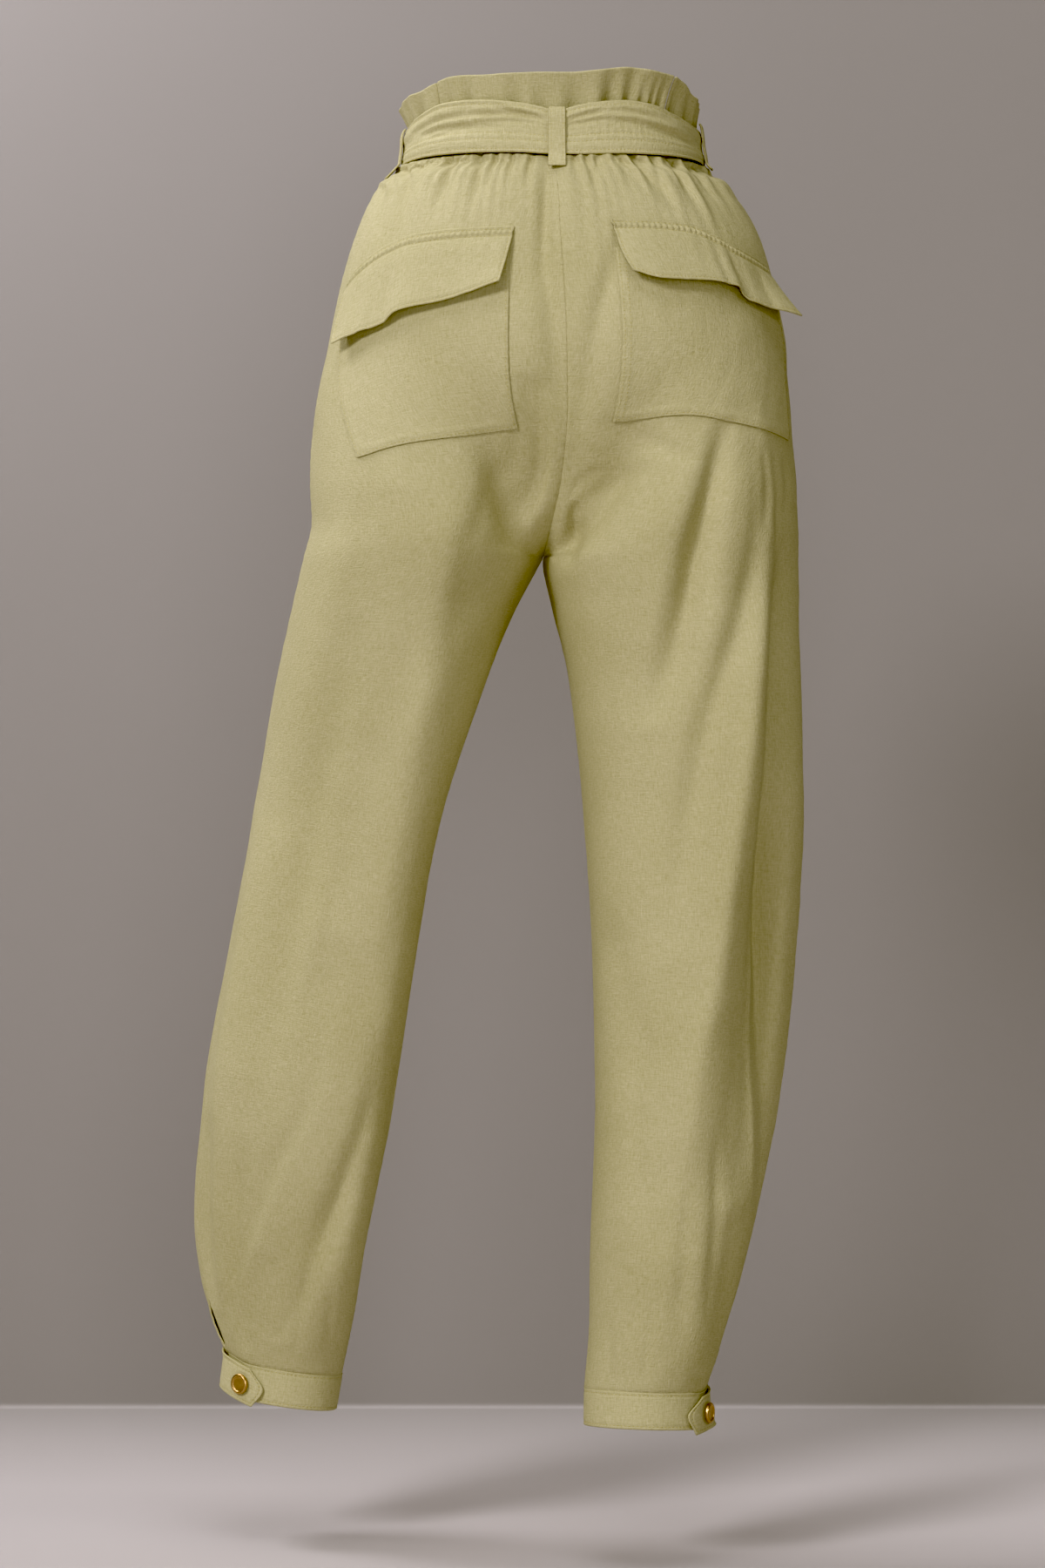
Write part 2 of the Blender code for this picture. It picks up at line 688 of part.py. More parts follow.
def make_waistband(finish):
    parts = {
        "waistband_back": (180 - BAND_SEAM_DEG, 180 + BAND_SEAM_DEG, BACK_WAVES, 1),
        "waistband_front": (BAND_SEAM_DEG - 180, 180 - BAND_SEAM_DEG, FRONT_WAVES, 0.8),
    }
    seam_deg = math.degrees(SEAM_GAP / BAND_HALF_DEPTH) * 0.7
    bottom = WAIST_SEAM_Z + SEAM_GAP
    for name, (first, last, waves, strength) in parts.items():
        edges = gather_edges(first + seam_deg, last - seam_deg, waves, len(name))
        rows = []
        for share in (0, 1, 1.35, 1.7, 2):
            row = []
            for k in range(waves):
                for step in (0, 0.25, 0.5, 0.75) if k < waves - 1 else (0, 0.25, 0.5, 0.75, 1):
                    degrees = edges[k] + (edges[k + 1] - edges[k]) * step
                    height = CASING_WAVE + (FRILL_WAVE - CASING_WAVE) * eased(share - 1)
                    wave = height * strength * (0.75 + 0.25 * math.sin(4 * k))
                    grow = wave * (math.sin(math.pi * step) ** 2 - 0.5)
                    z = bottom - bottom * share
                    if share > 1:
                        z = waist_line("frill_top", degrees) * (share - 1)
                        grow += waist_line("frill_flare", degrees) * (share - 1)
                    outer = waist_point(degrees, grow, z)
                    row.append((degrees, outer, waist_point(degrees, grow - DOUBLE_WALL, z)))
            rows.append(row)
        cloth_piece(name, rows, finish)


def belt_lift(degrees, share):
    """How far the belt's creases stand out at a share of its height."""
    lift = smooth(BELT_CREASES, "lift", share, "share")
    return lift * (0.8 + 0.3 * math.sin(math.radians(3 * degrees + 200 * share)))


def belt_place(degrees, share):
    """Height and inner grow of the belt, share 0 at its bottom edge and 1 at its top edge."""
    line = {name: waist_line(name, degrees) for name in WAIST_LINES[0] if name != "degrees"}
    z = line["belt_bottom"] + (line["belt_top"] - line["belt_bottom"]) * share
    top_flare = line["frill_flare"] * max(0, z) / line["frill_top"]
    bottom_flare = line["belt_flare"] * (1 - share) ** 2
    return z, BELT_CLEAR + top_flare + bottom_flare + belt_lift(degrees, share)


def make_belt(finish):
    rows = []
    for crease in BELT_CREASES:
        row = []
        for k in range(BELT_COLUMNS):
            degrees = 360 * k / BELT_COLUMNS
            z, grow = belt_place(degrees, crease["share"])
            outer = waist_point(degrees, grow + DOUBLE_WALL, z)
            row.append((k / BELT_COLUMNS, outer, waist_point(degrees, grow, z)))
        rows.append(row)
    cloth_piece("belt", rows, finish, closed=True)


def half_turn(degrees, width):
    """Half the turn round the waist that spans a width at one place, found by halving."""
    low, high = 0, 10
    for _ in range(20):
        turn = (low + high) / 2
        span = waist_point(degrees + turn, LOOP_ROOT, 0) - waist_point(degrees - turn, LOOP_ROOT, 0)
        low, high = (turn, high) if span.length < width else (low, turn)
    return (low + high) / 2


def make_loops(finish):
    """Each loop is a narrow strip that crosses the belt and bends in at both ends."""
    over = DOUBLE_WALL + LOOP_CLEAR
    for loop in BELT_LOOPS:
        top, bottom = loop["top"], loop["bottom"]
        at_top = belt_place(loop["degrees"], 1)[1] + over - LOOP_CLEAR
        path = [(LOOP_ROOT, top + LOOP_OVER), (at_top, top + LOOP_OVER)]
        for share in (0.9, 0.6, 0.3, 0):
            z, grow = belt_place(loop["degrees"], share)
            path.append((grow + over + loop["bulge"] * math.sin(math.pi * share), min(z, top - LOOP_OVER)))
        path.append((path[-1][0] + loop["kick"], bottom))
        around = half_turn(loop["degrees"], LOOP_WIDTH)
        rows = []
        for k, (grow, z) in enumerate(path):
            before, after = path[max(k - 1, 0)], path[min(k + 1, len(path) - 1)]
            along = Vector((after[0] - before[0], after[1] - before[1])).normalized()
            outer_grow, outer_z = grow - along.y * LOOP_WALL, z + along.x * LOOP_WALL
            row = []
            for share in (-1, 0, 1):
                degrees = loop["degrees"] + around * share
                outer = waist_point(degrees, outer_grow, outer_z)
                row.append((share, outer, waist_point(degrees, grow, z)))
            rows.append(row)
        cloth_piece(loop["name"], rows, finish)


def make_knot(finish):
    """The belt's flat knot: a plump rounded cushion of folded cloth."""
    bpy.ops.mesh.primitive_uv_sphere_add(segments=18, ring_count=10, radius=1)
    knot = bpy.context.object
    knot.name = "belt_knot"
    knot.data.name = "belt_knot"
    for vertex in knot.data.vertices:
        x, y, z = vertex.co
        crease = 1 - 0.1 * abs(math.sin(3 * x + 1.5 * z))
        bent = [rounded(value, 2.8) for value in (x, y, z)]
        place = Vector([b * s for b, s in zip(bent, KNOT_SIZE)]) * crease + KNOT_MIDDLE
        vertex.co = place * MM
    knot.data.shade_smooth()
    knot.data.materials.append(finish)


def make_tails(finish):
    """The two hanging ends of the belt, side by side below the knot."""
    for name, side in SIDES.items():
        rows = []
        for down in spread(0, 1, 10):
            z = TAIL_TOP_Z - TAIL_LENGTH * down
            inner_x, width, y = [smooth(TAIL_LINE, key, z) for key in ("inner_x", "width", "front_y")]
            row = []
            for u in spread(0, 1, 5):
                x = KNOT_MIDDLE.x + side * (inner_x + width * u)
                ripple = TAIL_RIPPLE * math.cos(2.5 * math.pi * u + 2.8 * down * side)
                slant = -TAIL_SLANT * down * (u if side == LEFT else 1 - u)
                back = Vector((x, y + ripple + TAIL_CURL * u * u, z + slant))
                row.append((u, back + Vector((0, -DOUBLE_WALL, 0)), back))
            rows.append(row)
        cloth_piece(f"belt_end_{name}", rows, finish)


# Cuffs


def cuff_point(side, along, drop, grow):
    """A point near the cuff: along in mm from the vent, drop below the hem, grow out from it."""
    z = HEM_Z[side]
    a = 0.5 + along / cuff_stretch(side)
    around = form(side, (a + STEP_A) % 1, z) - form(side, (a - STEP_A) % 1, z)
    outward = Vector((around.y, -around.x, 0)).normalized() * side
    axis = Vector((leg_at(side, z)["lean_x"], leg_at(side, z)["lean_y"], -1)).normalized()
    flare = HEM_WIDENS * max(0, -drop) - CUFF_NARROWS * drop
    return form(side, a % 1, z) + outward * (grow + flare) + axis * drop


def lap_point(side, along, share, layer):
    """A point of the cuff band. along is 0 where the band has come round to the vent again."""
    from_start = along + cuff_stretch(side)
    drop = -hem_rise(from_start) if from_start < START_RISE_END else band_drop(along)
    grow = CUFF_GROW + LAP_GROW * eased((along - RISE_END) / -RISE_END) - layer
    at_vent = math.exp(-(((along - LAP_FLARE_ALONG) / LAP_FLARE_WIDTH) ** 2))
    grow += LAP_FLARE[side] * share**2 * at_vent
    return cuff_point(side, along, drop + SEAM_GAP + CUFF_HEIGHT * share, grow)


def make_cuffs(cloth_finish, metal_finish):
    for name, side in SIDES.items():
        hem_places = spread(0.5, 1, BACK_COLUMNS)[1:] + spread(1, 1.5, FRONT_COLUMNS)[1:]
        once_round = [(place - 1.5) * cuff_stretch(side) for place in hem_places]
        start = BAND_START - cuff_stretch(side)
        rows = []
        for tip in TIP:
            row = []
            for along in [start] + once_round + spread(0, tip["reach"], 4)[1:]:
                outer = lap_point(side, along, tip["share"], 0)
                row.append((along, outer, lap_point(side, along, tip["share"], DOUBLE_WALL)))
            rows.append(row)
        cloth_piece(f"cuff_{name}", rows, cloth_finish)
        make_button(name, side, metal_finish)
        make_placket(name, side, cloth_finish)


def make_button(name, side, finish):
    """A metal shank button with a raised rim, facing out from the band's end."""
    base = lap_point(side, BUTTON_ALONG, 0.5, -SEAM_GAP)
    outward = (lap_point(side, BUTTON_ALONG, 0.5, -5) - base).normalized()
    mesh = bpy.data.meshes.new(f"cuff_button_{name}")
    button = bpy.data.objects.new(f"cuff_button_{name}", mesh)
    bpy.context.scene.collection.objects.link(button)
    profile = (
        (0.0, 3.3),
        (6.2, 3.1),
        (7.6, 3.8),
        (BUTTON_RADIUS, 2.6),
        (8.2, 1.5),
        (4.0, 1.3),
        (4.0, 0.0),
        (0.0, 0.0),
    )
    links = [(i, i + 1) for i in range(len(profile) - 1)]
    mesh.from_pydata([(r * MM, 0, h * MM) for r, h in profile], links, [])
    lathe = button.modifiers.new("Turned", "SCREW")
    lathe.steps = lathe.render_steps = 20
    lathe.use_merge_vertices = True
    lathe.merge_threshold = 0.00001
    lathe.use_smooth_shade = True
    button.location = base * MM
    button.rotation_mode = "QUATERNION"
    button.rotation_quaternion = outward.to_track_quat("Z", "X")
    mesh.materials.append(finish)


def make_placket(name, side, finish):
    """The strip of cloth behind the vent above the cuff."""
    rows = []
    for up in spread(VENT_HEIGHT + 4, 2, 5):
        row = []
        for share in (-1, -0.3, 0.3, 1):
            a = 0.5 + PLACKET_HALF_WIDTH * share / cuff_stretch(side)
            pair = wall_pair(side, a, HEM_Z[side] + up, -WALL - PLACKET_GAP, PLACKET_WALL)
            row.append((share, *pair))
        rows.append(row)
    cloth_piece(f"vent_placket_{name}", rows, finish)


def clear_scene():
    for old in list(bpy.data.objects):
        bpy.data.objects.remove(old)


def main():
    clear_scene()
    linen = material("linen", (0.49, 0.43, 0.22), 0.9)
    linen_turned = material("linen_turned", (0.45, 0.39, 0.19), 0.9)
    gold = material("gold_metal", (0.62, 0.40, 0.16), 0.35, 1)
    make_panels(linen)
    make_back_pockets(linen)
    make_front_pockets(linen_turned)
    make_waistband(linen)
    make_belt(linen_turned)
    make_loops(linen_turned)
    make_knot(linen_turned)
    make_tails(linen_turned)
    make_cuffs(linen_turned, gold)


main()
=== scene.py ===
"""Paperbag-waist trousers in dusty lime linen, worn and seen from behind.

Every length of the garment is in millimetres until a mesh is made, and the studio is in metres.
+Z is up, -Y the front, +X the wearer's left, and the origin is the middle of the waist. The cloth is
cut as thin shells on the forms of the solids.
"""

import math
import random

import bpy
import numpy as np
from mathutils import Matrix, Vector


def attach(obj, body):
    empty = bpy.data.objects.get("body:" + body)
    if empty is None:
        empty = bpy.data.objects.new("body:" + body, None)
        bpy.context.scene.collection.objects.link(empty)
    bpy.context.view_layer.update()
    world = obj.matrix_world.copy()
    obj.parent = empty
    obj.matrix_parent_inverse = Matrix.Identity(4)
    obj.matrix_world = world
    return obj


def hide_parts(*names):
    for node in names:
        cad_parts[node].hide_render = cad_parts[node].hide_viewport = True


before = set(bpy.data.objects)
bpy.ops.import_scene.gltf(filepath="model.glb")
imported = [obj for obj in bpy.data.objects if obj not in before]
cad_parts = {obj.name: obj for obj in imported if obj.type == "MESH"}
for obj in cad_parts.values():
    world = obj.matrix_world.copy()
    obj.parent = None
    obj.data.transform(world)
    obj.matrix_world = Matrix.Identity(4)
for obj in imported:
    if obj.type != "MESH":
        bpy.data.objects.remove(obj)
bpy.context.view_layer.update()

bpy.ops.object.select_all(action="DESELECT")
MM = 0.001

# Studio. A pale floor meets a grey backdrop close behind the trousers. One large soft light stands high
# behind the wearer's left shoulder, with weak ones low by the camera, on the other side and overhead,
# and two small ones for the backdrop and the floor. The camera is at thigh height behind the wearer.
scene = bpy.context.scene
scene.view_settings.view_transform = "Standard"
FLOOR_Z, WALL_Y, COVE_RADIUS = -1.145, -0.85, 0.006
BLACK_LEVEL = (0.056, 0.056, 0.084)
scene.view_settings.use_curve_mapping = True
scene.view_settings.curve_mapping.black_level = BLACK_LEVEL
scene.view_settings.curve_mapping.update()
CAMERA_PLACE = (0.0252, 3.6, -0.525)
CAMERA_LENS, CAMERA_FILM = 102.86, 36


def aimed(name, data, place, target):
    """An object for a camera or a light, turned to look at a point."""
    made = bpy.data.objects.new(name, data)
    scene.collection.objects.link(made)
    made.location = place
    made.rotation_euler = (Vector(target) - Vector(place)).to_track_quat("-Z", "Y").to_euler()
    return made


camera_data = bpy.data.cameras.new("camera")
camera_data.sensor_fit = "VERTICAL"
camera_data.sensor_height = CAMERA_FILM
camera_data.lens = CAMERA_LENS
straight_ahead = (CAMERA_PLACE[0], 0, CAMERA_PLACE[2])
scene.camera = aimed("camera", camera_data, CAMERA_PLACE, straight_ahead)

for name, place, target, size, power, spread, colour in (
    ("key_light", (3.8, 5.25, 3.2), (0.05, 0, -0.5), 2.0, 332, 180, (1, 0.985, 0.95)),
    ("low_light", (-0.2, 3.9, -0.2), (0.05, 0, -0.65), 1.1, 35, 180, (1, 0.985, 0.95)),
    ("fill_light", (-3.0, 2.1, 0.6), (0.05, 0, -0.5), 1.1, 19, 180, (1, 0.97, 0.88)),
    ("top_light", (0.1, 1.0, 2.6), (0, -0.2, -0.8), 1.6, 31, 180, (1, 0.99, 0.97)),
    ("backdrop_light", (1.25, -0.35, 1.0), (0.6, -0.85, 0.3), 0.7, 20, 180, (1, 0.99, 0.97)),
    ("floor_light", (-1.05, -0.4, -0.75), (-0.35, -0.75, -1.13), 0.5, 0.8, 90, (1, 0.99, 0.97)),
):
    lamp = bpy.data.lights.new(name, "AREA")
    lamp.shape = "DISK"
    lamp.size = size
    lamp.energy = power
    lamp.color = colour
    lamp.spread = math.radians(spread)
    aimed(name, lamp, place, target)

world = bpy.data.worlds.new("studio")
world.use_nodes = True
room = world.node_tree.nodes["Background"]
room.inputs["Color"].default_value = (1, 0.91, 0.70, 1)
room.inputs["Strength"].default_value = 0.03
scene.world = world


def add_node(tree, kind, *links, **settings):
    """A shader node. links are (input, socket or value), settings its own properties."""
    made = tree.nodes.new(kind)
    for name, value in settings.items():
        setattr(made, name, value)
    for where, value in links:
        if isinstance(value, bpy.types.NodeSocket):
            tree.links.new(value, made.inputs[where])
        else:
            made.inputs[where].default_value = value
    return made


def mixed_colour(tree, factor, first, second):
    """A colour between two others, each a colour or a socket."""
    mix = add_node(tree, "ShaderNodeMix", ("Factor", factor), data_type="RGBA")
    for where, colour in (("A", first), ("B", second)):
        if isinstance(colour, bpy.types.NodeSocket):
            tree.links.new(colour, mix.inputs[where])
        else:
            mix.inputs[where].default_value = (*colour, 1)
    return mix.outputs["Result"]


def new_material(name):
    """A new material, with its node tree and its shader."""
    made = bpy.data.materials.new(name)
    made.use_nodes = True
    return made, made.node_tree, made.node_tree.nodes["Principled BSDF"]


bpy.ops.mesh.primitive_plane_add(size=1)
floor = bpy.context.object
floor.name = "floor"
FLOOR_WIDTH, FLOOR_FRONT_Y, WALL_HEIGHT = 9, 7, 4.5
floor.data.transform(Matrix.Diagonal((FLOOR_WIDTH, FLOOR_FRONT_Y - WALL_Y, 1, 1)))
floor.data.transform(Matrix.Translation((0, (FLOOR_FRONT_Y + WALL_Y) / 2, FLOOR_Z)))
bpy.ops.object.mode_set(mode="EDIT")
bpy.ops.mesh.select_all(action="DESELECT")
bpy.ops.object.mode_set(mode="OBJECT")
for edge in floor.data.edges:
    ends = [floor.data.vertices[i].co for i in edge.vertices]
    edge.select = all(p.y < WALL_Y + 0.01 for p in ends)
bpy.ops.object.mode_set(mode="EDIT")
bpy.ops.mesh.extrude_region_move(TRANSFORM_OT_translate={"value": (0, 0, WALL_HEIGHT)})
bpy.ops.object.mode_set(mode="OBJECT")
for edge in floor.data.edges:
    ends = [floor.data.vertices[i].co for i in edge.vertices]
    edge.select = all(abs(p.y - WALL_Y) < 0.01 and p.z < FLOOR_Z + 0.01 for p in ends)
bpy.ops.object.mode_set(mode="EDIT")
bpy.ops.mesh.bevel(offset=COVE_RADIUS, segments=12, affect="EDGES")
bpy.ops.object.mode_set(mode="OBJECT")
floor.data.shade_smooth()
# The floor's colour is painted darker by the wall and grows paler forwards: painted shade where the floor
# meets the backdrop.
WALL_GREYS = (0.252, 0.232, 0.243), (0.274, 0.252, 0.264)
FLOOR_SHADED_BY_WALL, FLOOR_FORWARD = (0.37, 0.342, 0.36), (0.55, 0.509, 0.535)
FORWARD_Y = -0.35  # the floor grows paler from the wall up to here
PAINT_TOP_Z, PAINT_LOW_Z = FLOOR_Z + 0.004, FLOOR_Z + 0.001  # the wall's paint ends in the cove
paint, tree, shader = new_material("studio_paint")
place = add_node(tree, "ShaderNodeTexCoord").outputs["Object"]
cloud = add_node(tree, "ShaderNodeTexNoise", ("Vector", place), ("Scale", 1.3), ("Detail", 3.0))
apart = add_node(tree, "ShaderNodeSeparateXYZ", (0, place)).outputs
lower = add_node(
    tree, "ShaderNodeMapRange", ("Value", apart["Z"]), ("From Min", PAINT_TOP_Z), ("From Max", PAINT_LOW_Z)
)
nearer = add_node(
    tree, "ShaderNodeMapRange", ("Value", apart["Y"]), ("From Min", WALL_Y), ("From Max", FORWARD_Y)
)
wall_paint = mixed_colour(tree, cloud.outputs["Fac"], *WALL_GREYS)
floor_with_painted_shade = mixed_colour(tree, nearer.outputs[0], FLOOR_SHADED_BY_WALL, FLOOR_FORWARD)
laid = mixed_colour(tree, lower.outputs[0], wall_paint, floor_with_painted_shade)
tree.links.new(laid, shader.inputs["Base Color"])
shader.inputs["Roughness"].default_value = 0.85
floor.data.materials.append(paint)

# Legs. Two back and two front panels of one layer of linen, sewn at the centre seam, the side seams
# and the inseams, and gathered at the top onto the waistband. They hang hollow from the hips, with
# the weight on the right leg.
LEFT, RIGHT = 1, -1
SIDES = {"left": LEFT, "right": RIGHT}
LAYER = 0.9  # one layer of linen with its nap
SEAM_GAP = 0.3


def table(columns, *rows):
    """A table as a list of dictionaries, one for each row, with the columns' names as keys."""
    return [dict(zip(columns.split(), row)) for row in rows]


def smooth(rows, column, value, key="z"):
    """A column of a table at many places, on a curve through its rows that never overshoots them."""
    rows = sorted(rows, key=lambda row: row[key])
    places = np.array([row[key] for row in rows], float)
    heights = np.array([row[column] for row in rows], float)
    value = np.clip(value, places[0], places[-1])
    i = np.clip(np.searchsorted(places, value) - 1, 0, len(places) - 2)
    steps = np.diff(places)
    slopes = np.diff(heights) / steps
    before, after = slopes[:-1], slopes[1:]
    both = np.where(before * after > 0, before + after, 1)
    middle = np.where(before * after > 0, 2 * before * after / both, 0)
    tangents = np.concatenate([slopes[:1], middle, slopes[-1:]])
    t = (value - places[i]) / steps[i]
    return (
        heights[i]
        + (heights[i + 1] - heights[i]) * (3 * t**2 - 2 * t**3)
        + steps[i] * (t**3 - 2 * t**2 + t) * tangents[i]
        + steps[i] * (t**3 - t**2) * tangents[i + 1]
    )


def eased(t):
    """0 to 1 with soft ends."""
    t = np.clip(t, 0, 1)
    return t * t * (3 - 2 * t)


def rounded(value, power):
    """A sine or cosine bent so that an ellipse becomes a little squarer."""
    return np.sign(value) * np.abs(value) ** (2 / power)


# The hips at some heights: how far they reach to the left, right, front and back, and where the
# centre seam lies.
HIPS = table(
    "z left right front back seam_x",
    (-27, 115.5, 113.5, 91, 91, 1),
    (-36, 119, 117, 92, 92.5, 0),
    (-44, 134, 133, 96, 99, -1),
    (-54, 144, 144, 100, 105, -2),
    (-66, 151, 153, 104, 110, -3),
    (-91, 161, 164, 108, 117, -4),
    (-119, 169, 172, 111, 123, -6),
    (-175, 181, 184, 114, 131, -9),
    (-231, 192, 190, 115, 134, -10),
    (-287, 195, 194, 113, 132, -5),
    (-315, 194, 195, 111, 129, 1),
    (-345, 201, 196, 109, 124, 9),
)
# The legs at some heights: their four edges, how far a section leans for each millimetre across and
# back, and by how many degrees the side seam moves round the leg.
LEGS = {
    LEFT: table(
        "z outer_x inner_x front_y back_y lean_x lean_y turn",
        (-165, 179, -8, -113, 130, 0, 0, 0),
        (-231, 192, -10, -115, 134, 0, 0, 0),
        (-287, 195, -5, -113, 131, 0, 0, 0),
        (-315, 194, 1, -111, 128, 0, 0, 0),
        (-345, 201, 10, -108, 122, 0, 0, 0),
        (-385, 210, 32, -105, 112, 0.03, 0, 0),
        (-441, 222, 56, -102, 97, 0.08, -0.02, 2),
        (-553, 242, 93, -101, 72, 0.14, -0.03, 6),
        (-666, 263, 113, -108, 56, 0.15, -0.03, 10),
        (-781, 285, 131, -120, 38, 0.15, -0.03, 14),
        (-896, 295, 154, -131, 6, 0.15, -0.02, 18),
        (-940, 290, 161, -130, -10, 0.15, -0.01, 20),
        (-1001, 269, 173, -121, -34, 0.15, 0, 23),
    ),
    RIGHT: table(
        "z outer_x inner_x front_y back_y lean_x lean_y turn",
        (-165, -182, -8, -113, 130, 0, 0, 0),
        (-231, -190, -10, -115, 134, 0, 0, 0),
        (-287, -194, -5, -113, 131, 0, 0, 0),
        (-345, -196, 9, -106, 123, 0, 0, 0),
        (-385, -196, 1, -100, 119, 0, 0.01, 0),
        (-441, -197, -12, -91, 113, 0.01, 0.02, 0),
        (-553, -199, -24, -74, 106, 0.02, 0.03, 0),
        (-666, -193, -31, -61, 104, 0.02, 0.04, -2),
        (-781, -179, -33, -49, 106, 0.03, 0.05, -6),
        (-896, -153, -29, -28, 100, 0.03, 0.06, -11),
        (-953, -137, -28, -13, 92, 0.03, 0.07, -14),
        (-1006, -120, -24, -1, 83, 0.03, 0.07, -16),
    ),
}
# How much a leg's section slants: millimetres back for each millimetre towards the wearer's right.
SLANT = {
    LEFT: table(
        "z slant",
        (-345, 0),
        (-450, 0.2),
        (-560, 0.34),
        (-900, 0.36),
        (-960, 0.25),
        (-1001, 0.1),
    ),
    RIGHT: table(
        "z slant",
        (-345, 0),
        (-450, 0.1),
        (-560, 0.14),
        (-900, 0.14),
        (-1006, 0),
    ),
}
# How square a leg's section is behind, on its inner side and its outer side. At 2 it is an ellipse.
SQUARE = {
    LEFT: table(
        "z inner outer",
        (-380, 2, 2),
        (-500, 3.1, 2),
        (-600, 3.4, 2),
        (-890, 3.3, 2),
        (-990, 2, 2),
    ),
    RIGHT: table(
        "z inner outer",
        (-380, 2, 2),
        (-500, 2.6, 2.4),
        (-610, 2.8, 1.7),
        (-810, 2.7, 1.5),
        (-960, 2, 2),
    ),
}
# The cleft of the seat, on both sides of the centre seam.
CLEFT = table(
    "z depth width",
    (-110, 0, 16),
    (-180, -5, 26),
    (-230, -16, 40),
    (-280, -23, 48),
    (-320, -12, 42),
    (-343, 0, 30),
)
# Low on the right leg a fold laps over the side: outside this line the cloth lies lower by the step.
LAP = table(
    "z x step",
    (-530, -168, 0),
    (-600, -167, 9),
    (-680, -165, 15),
    (-800, -161, 15),
    (-880, -152, 0),
)
LAP_WIDTH = 6
LAP_FROM_A, LAP_FADE_A = 0.3, 0.15  # on the front, where the step begins, and how soon it is full
WAIST_SEAM_Z = HIPS[0]["z"]
CROTCH_Z = HIPS[-1]["z"]
HEM_Z = {side: LEGS[side][-1]["z"] for side in LEGS}
# Over these heights above the crotch the hips turn into two legs: at the seam, with how suddenly and
# how far round from it, and at the side.
SEAM_RISE, SEAM_POWER, SEAM_SPREAD = 125, 2.0, 0.18
SIDE_RISE = 180
HIP_POWER = 2.25


def stacked(x, y, z):
    """Points from their three coordinates."""
    return np.stack(np.broadcast_arrays(x, y, z), -1)


def unit(vectors):
    """Vectors brought to a length of 1."""
    return vectors / np.maximum(np.linalg.norm(vectors, axis=-1, keepdims=True), 1e-9)


def leg_share(a, z):
    """How much of a section belongs to the leg's loop: 0 at the hips, 1 from the crotch down."""
    reach = np.clip((CROTCH_Z + SEAM_RISE - z) / SEAM_RISE, 0, 1)
    at_seam = 1 - (1 - reach**SEAM_POWER) ** (1 / SEAM_POWER)
    at_side = eased((CROTCH_Z + SIDE_RISE - z) / SIDE_RISE)
    return at_seam + (at_side - at_seam) * eased(np.minimum(a, 1 - a) / SEAM_SPREAD)


def form(side, a, z):
    """The plain outer form of half the trousers. a goes round: 0 front seam, 0.5 side, 1 back seam."""
    a, z = np.broadcast_arrays(np.asarray(a, float), np.asarray(z, float))
    hip = {name: smooth(HIPS, name, z) for name in HIPS[0]}
    leg = {name: smooth(LEGS[side], name, z) for name in LEGS[side][0]}
    angle = math.pi * a
    edge = hip["left"] if side == LEFT else hip["right"]
    half_width = edge - side * hip["seam_x"]
    depth = np.where(a < 0.5, hip["front"], hip["back"])
    hip_x = hip["seam_x"] + side * half_width * rounded(np.sin(angle), HIP_POWER)
    hip_y = -depth * rounded(np.cos(angle), HIP_POWER)
    share = leg_share(a, z)
    inner_x = np.where(z < CROTCH_Z, leg["inner_x"], hip["seam_x"])
    middle_x = (leg["outer_x"] + inner_x) / 2
    middle_y = (leg["front_y"] + leg["back_y"]) / 2
    around = 2 * angle + np.radians(leg["turn"]) * np.sin(angle) ** 2
    inner, outer = (smooth(SQUARE[side], column, z) for column in ("inner", "outer"))
    power = np.where(np.sin(around) > 0, 2, np.where(np.cos(around) > 0, inner, outer))
    squared = (np.abs(np.cos(around)) ** power + np.abs(np.sin(around)) ** power) ** (-1 / power)
    leg_x = middle_x - (leg["outer_x"] - inner_x) / 2 * np.cos(around) * squared
    leg_y = middle_y - (leg["back_y"] - leg["front_y"]) / 2 * np.sin(around) * squared
    leg_y = leg_y - smooth(SLANT[side], "slant", z) * (leg_x - middle_x)
    x = hip_x + (leg_x - hip_x) * share
    y = hip_y + (leg_y - hip_y) * share
    lean = (leg["lean_x"] * (x - middle_x) + leg["lean_y"] * (y - middle_y)) * (share > 0)
    return stacked(x + side * SEAM_GAP / 2, y, z + lean)


def stretch_at(side, a, z, step=0.005):
    """Millimetres round the form for each unit of a."""
    low, high = np.maximum(a - step, 0), np.minimum(a + step, 1)
    return np.linalg.norm(form(side, high, z) - form(side, low, z), axis=-1) / (high - low)


# Long soft folds in the legs, from one place (a, z) to another. A depth below 0 is a trough.
FOLDS = {
    LEFT: table(
        "a_top z_top a_end z_end width depth",
        (0.985, -40, 0.955, -150, 12, -2),
        (0.93, -270, 0.76, -520, 30, -2.5),
        (0.97, -330, 0.88, -470, 22, -2),
        (0.72, -480, 0.64, -760, 30, -4),
        (0.60, -560, 0.565, -900, 24, 4),
        (0.78, -640, 0.60, -930, 30, -5),
        (0.90, -800, 0.68, -975, 22, -4),
        (0.545, -800, 0.53, -960, 13, -6),
        (0.34, -780, 0.38, -970, 16, -7),
        (0.70, -900, 0.60, -990, 12, -4),
        (0.20, -250, 0.27, -620, 34, -5),
        (0.10, -330, 0.20, -520, 24, -5),
        (0.30, -520, 0.36, -880, 30, 5),
        (0.16, -700, 0.34, -960, 24, -5),
    ),
    RIGHT: table(
        "a_top z_top a_end z_end width depth",
        (0.79, -255, 0.85, -400, 17, -1.5),
        (0.70, -255, 0.77, -480, 18, -3),
        (0.64, -300, 0.665, -720, 20, 3),
        (0.575, -330, 0.665, -860, 24, -15),
        (0.88, -640, 0.76, -900, 28, -3),
        (0.40, -780, 0.45, -970, 16, -7),
        (0.64, -860, 0.60, -985, 14, -4),
        (0.20, -250, 0.27, -620, 34, -5),
        (0.10, -330, 0.20, -520, 24, -5),
        (0.32, -520, 0.36, -880, 30, 5),
        (0.14, -700, 0.32, -960, 24, -5),
    ),
}
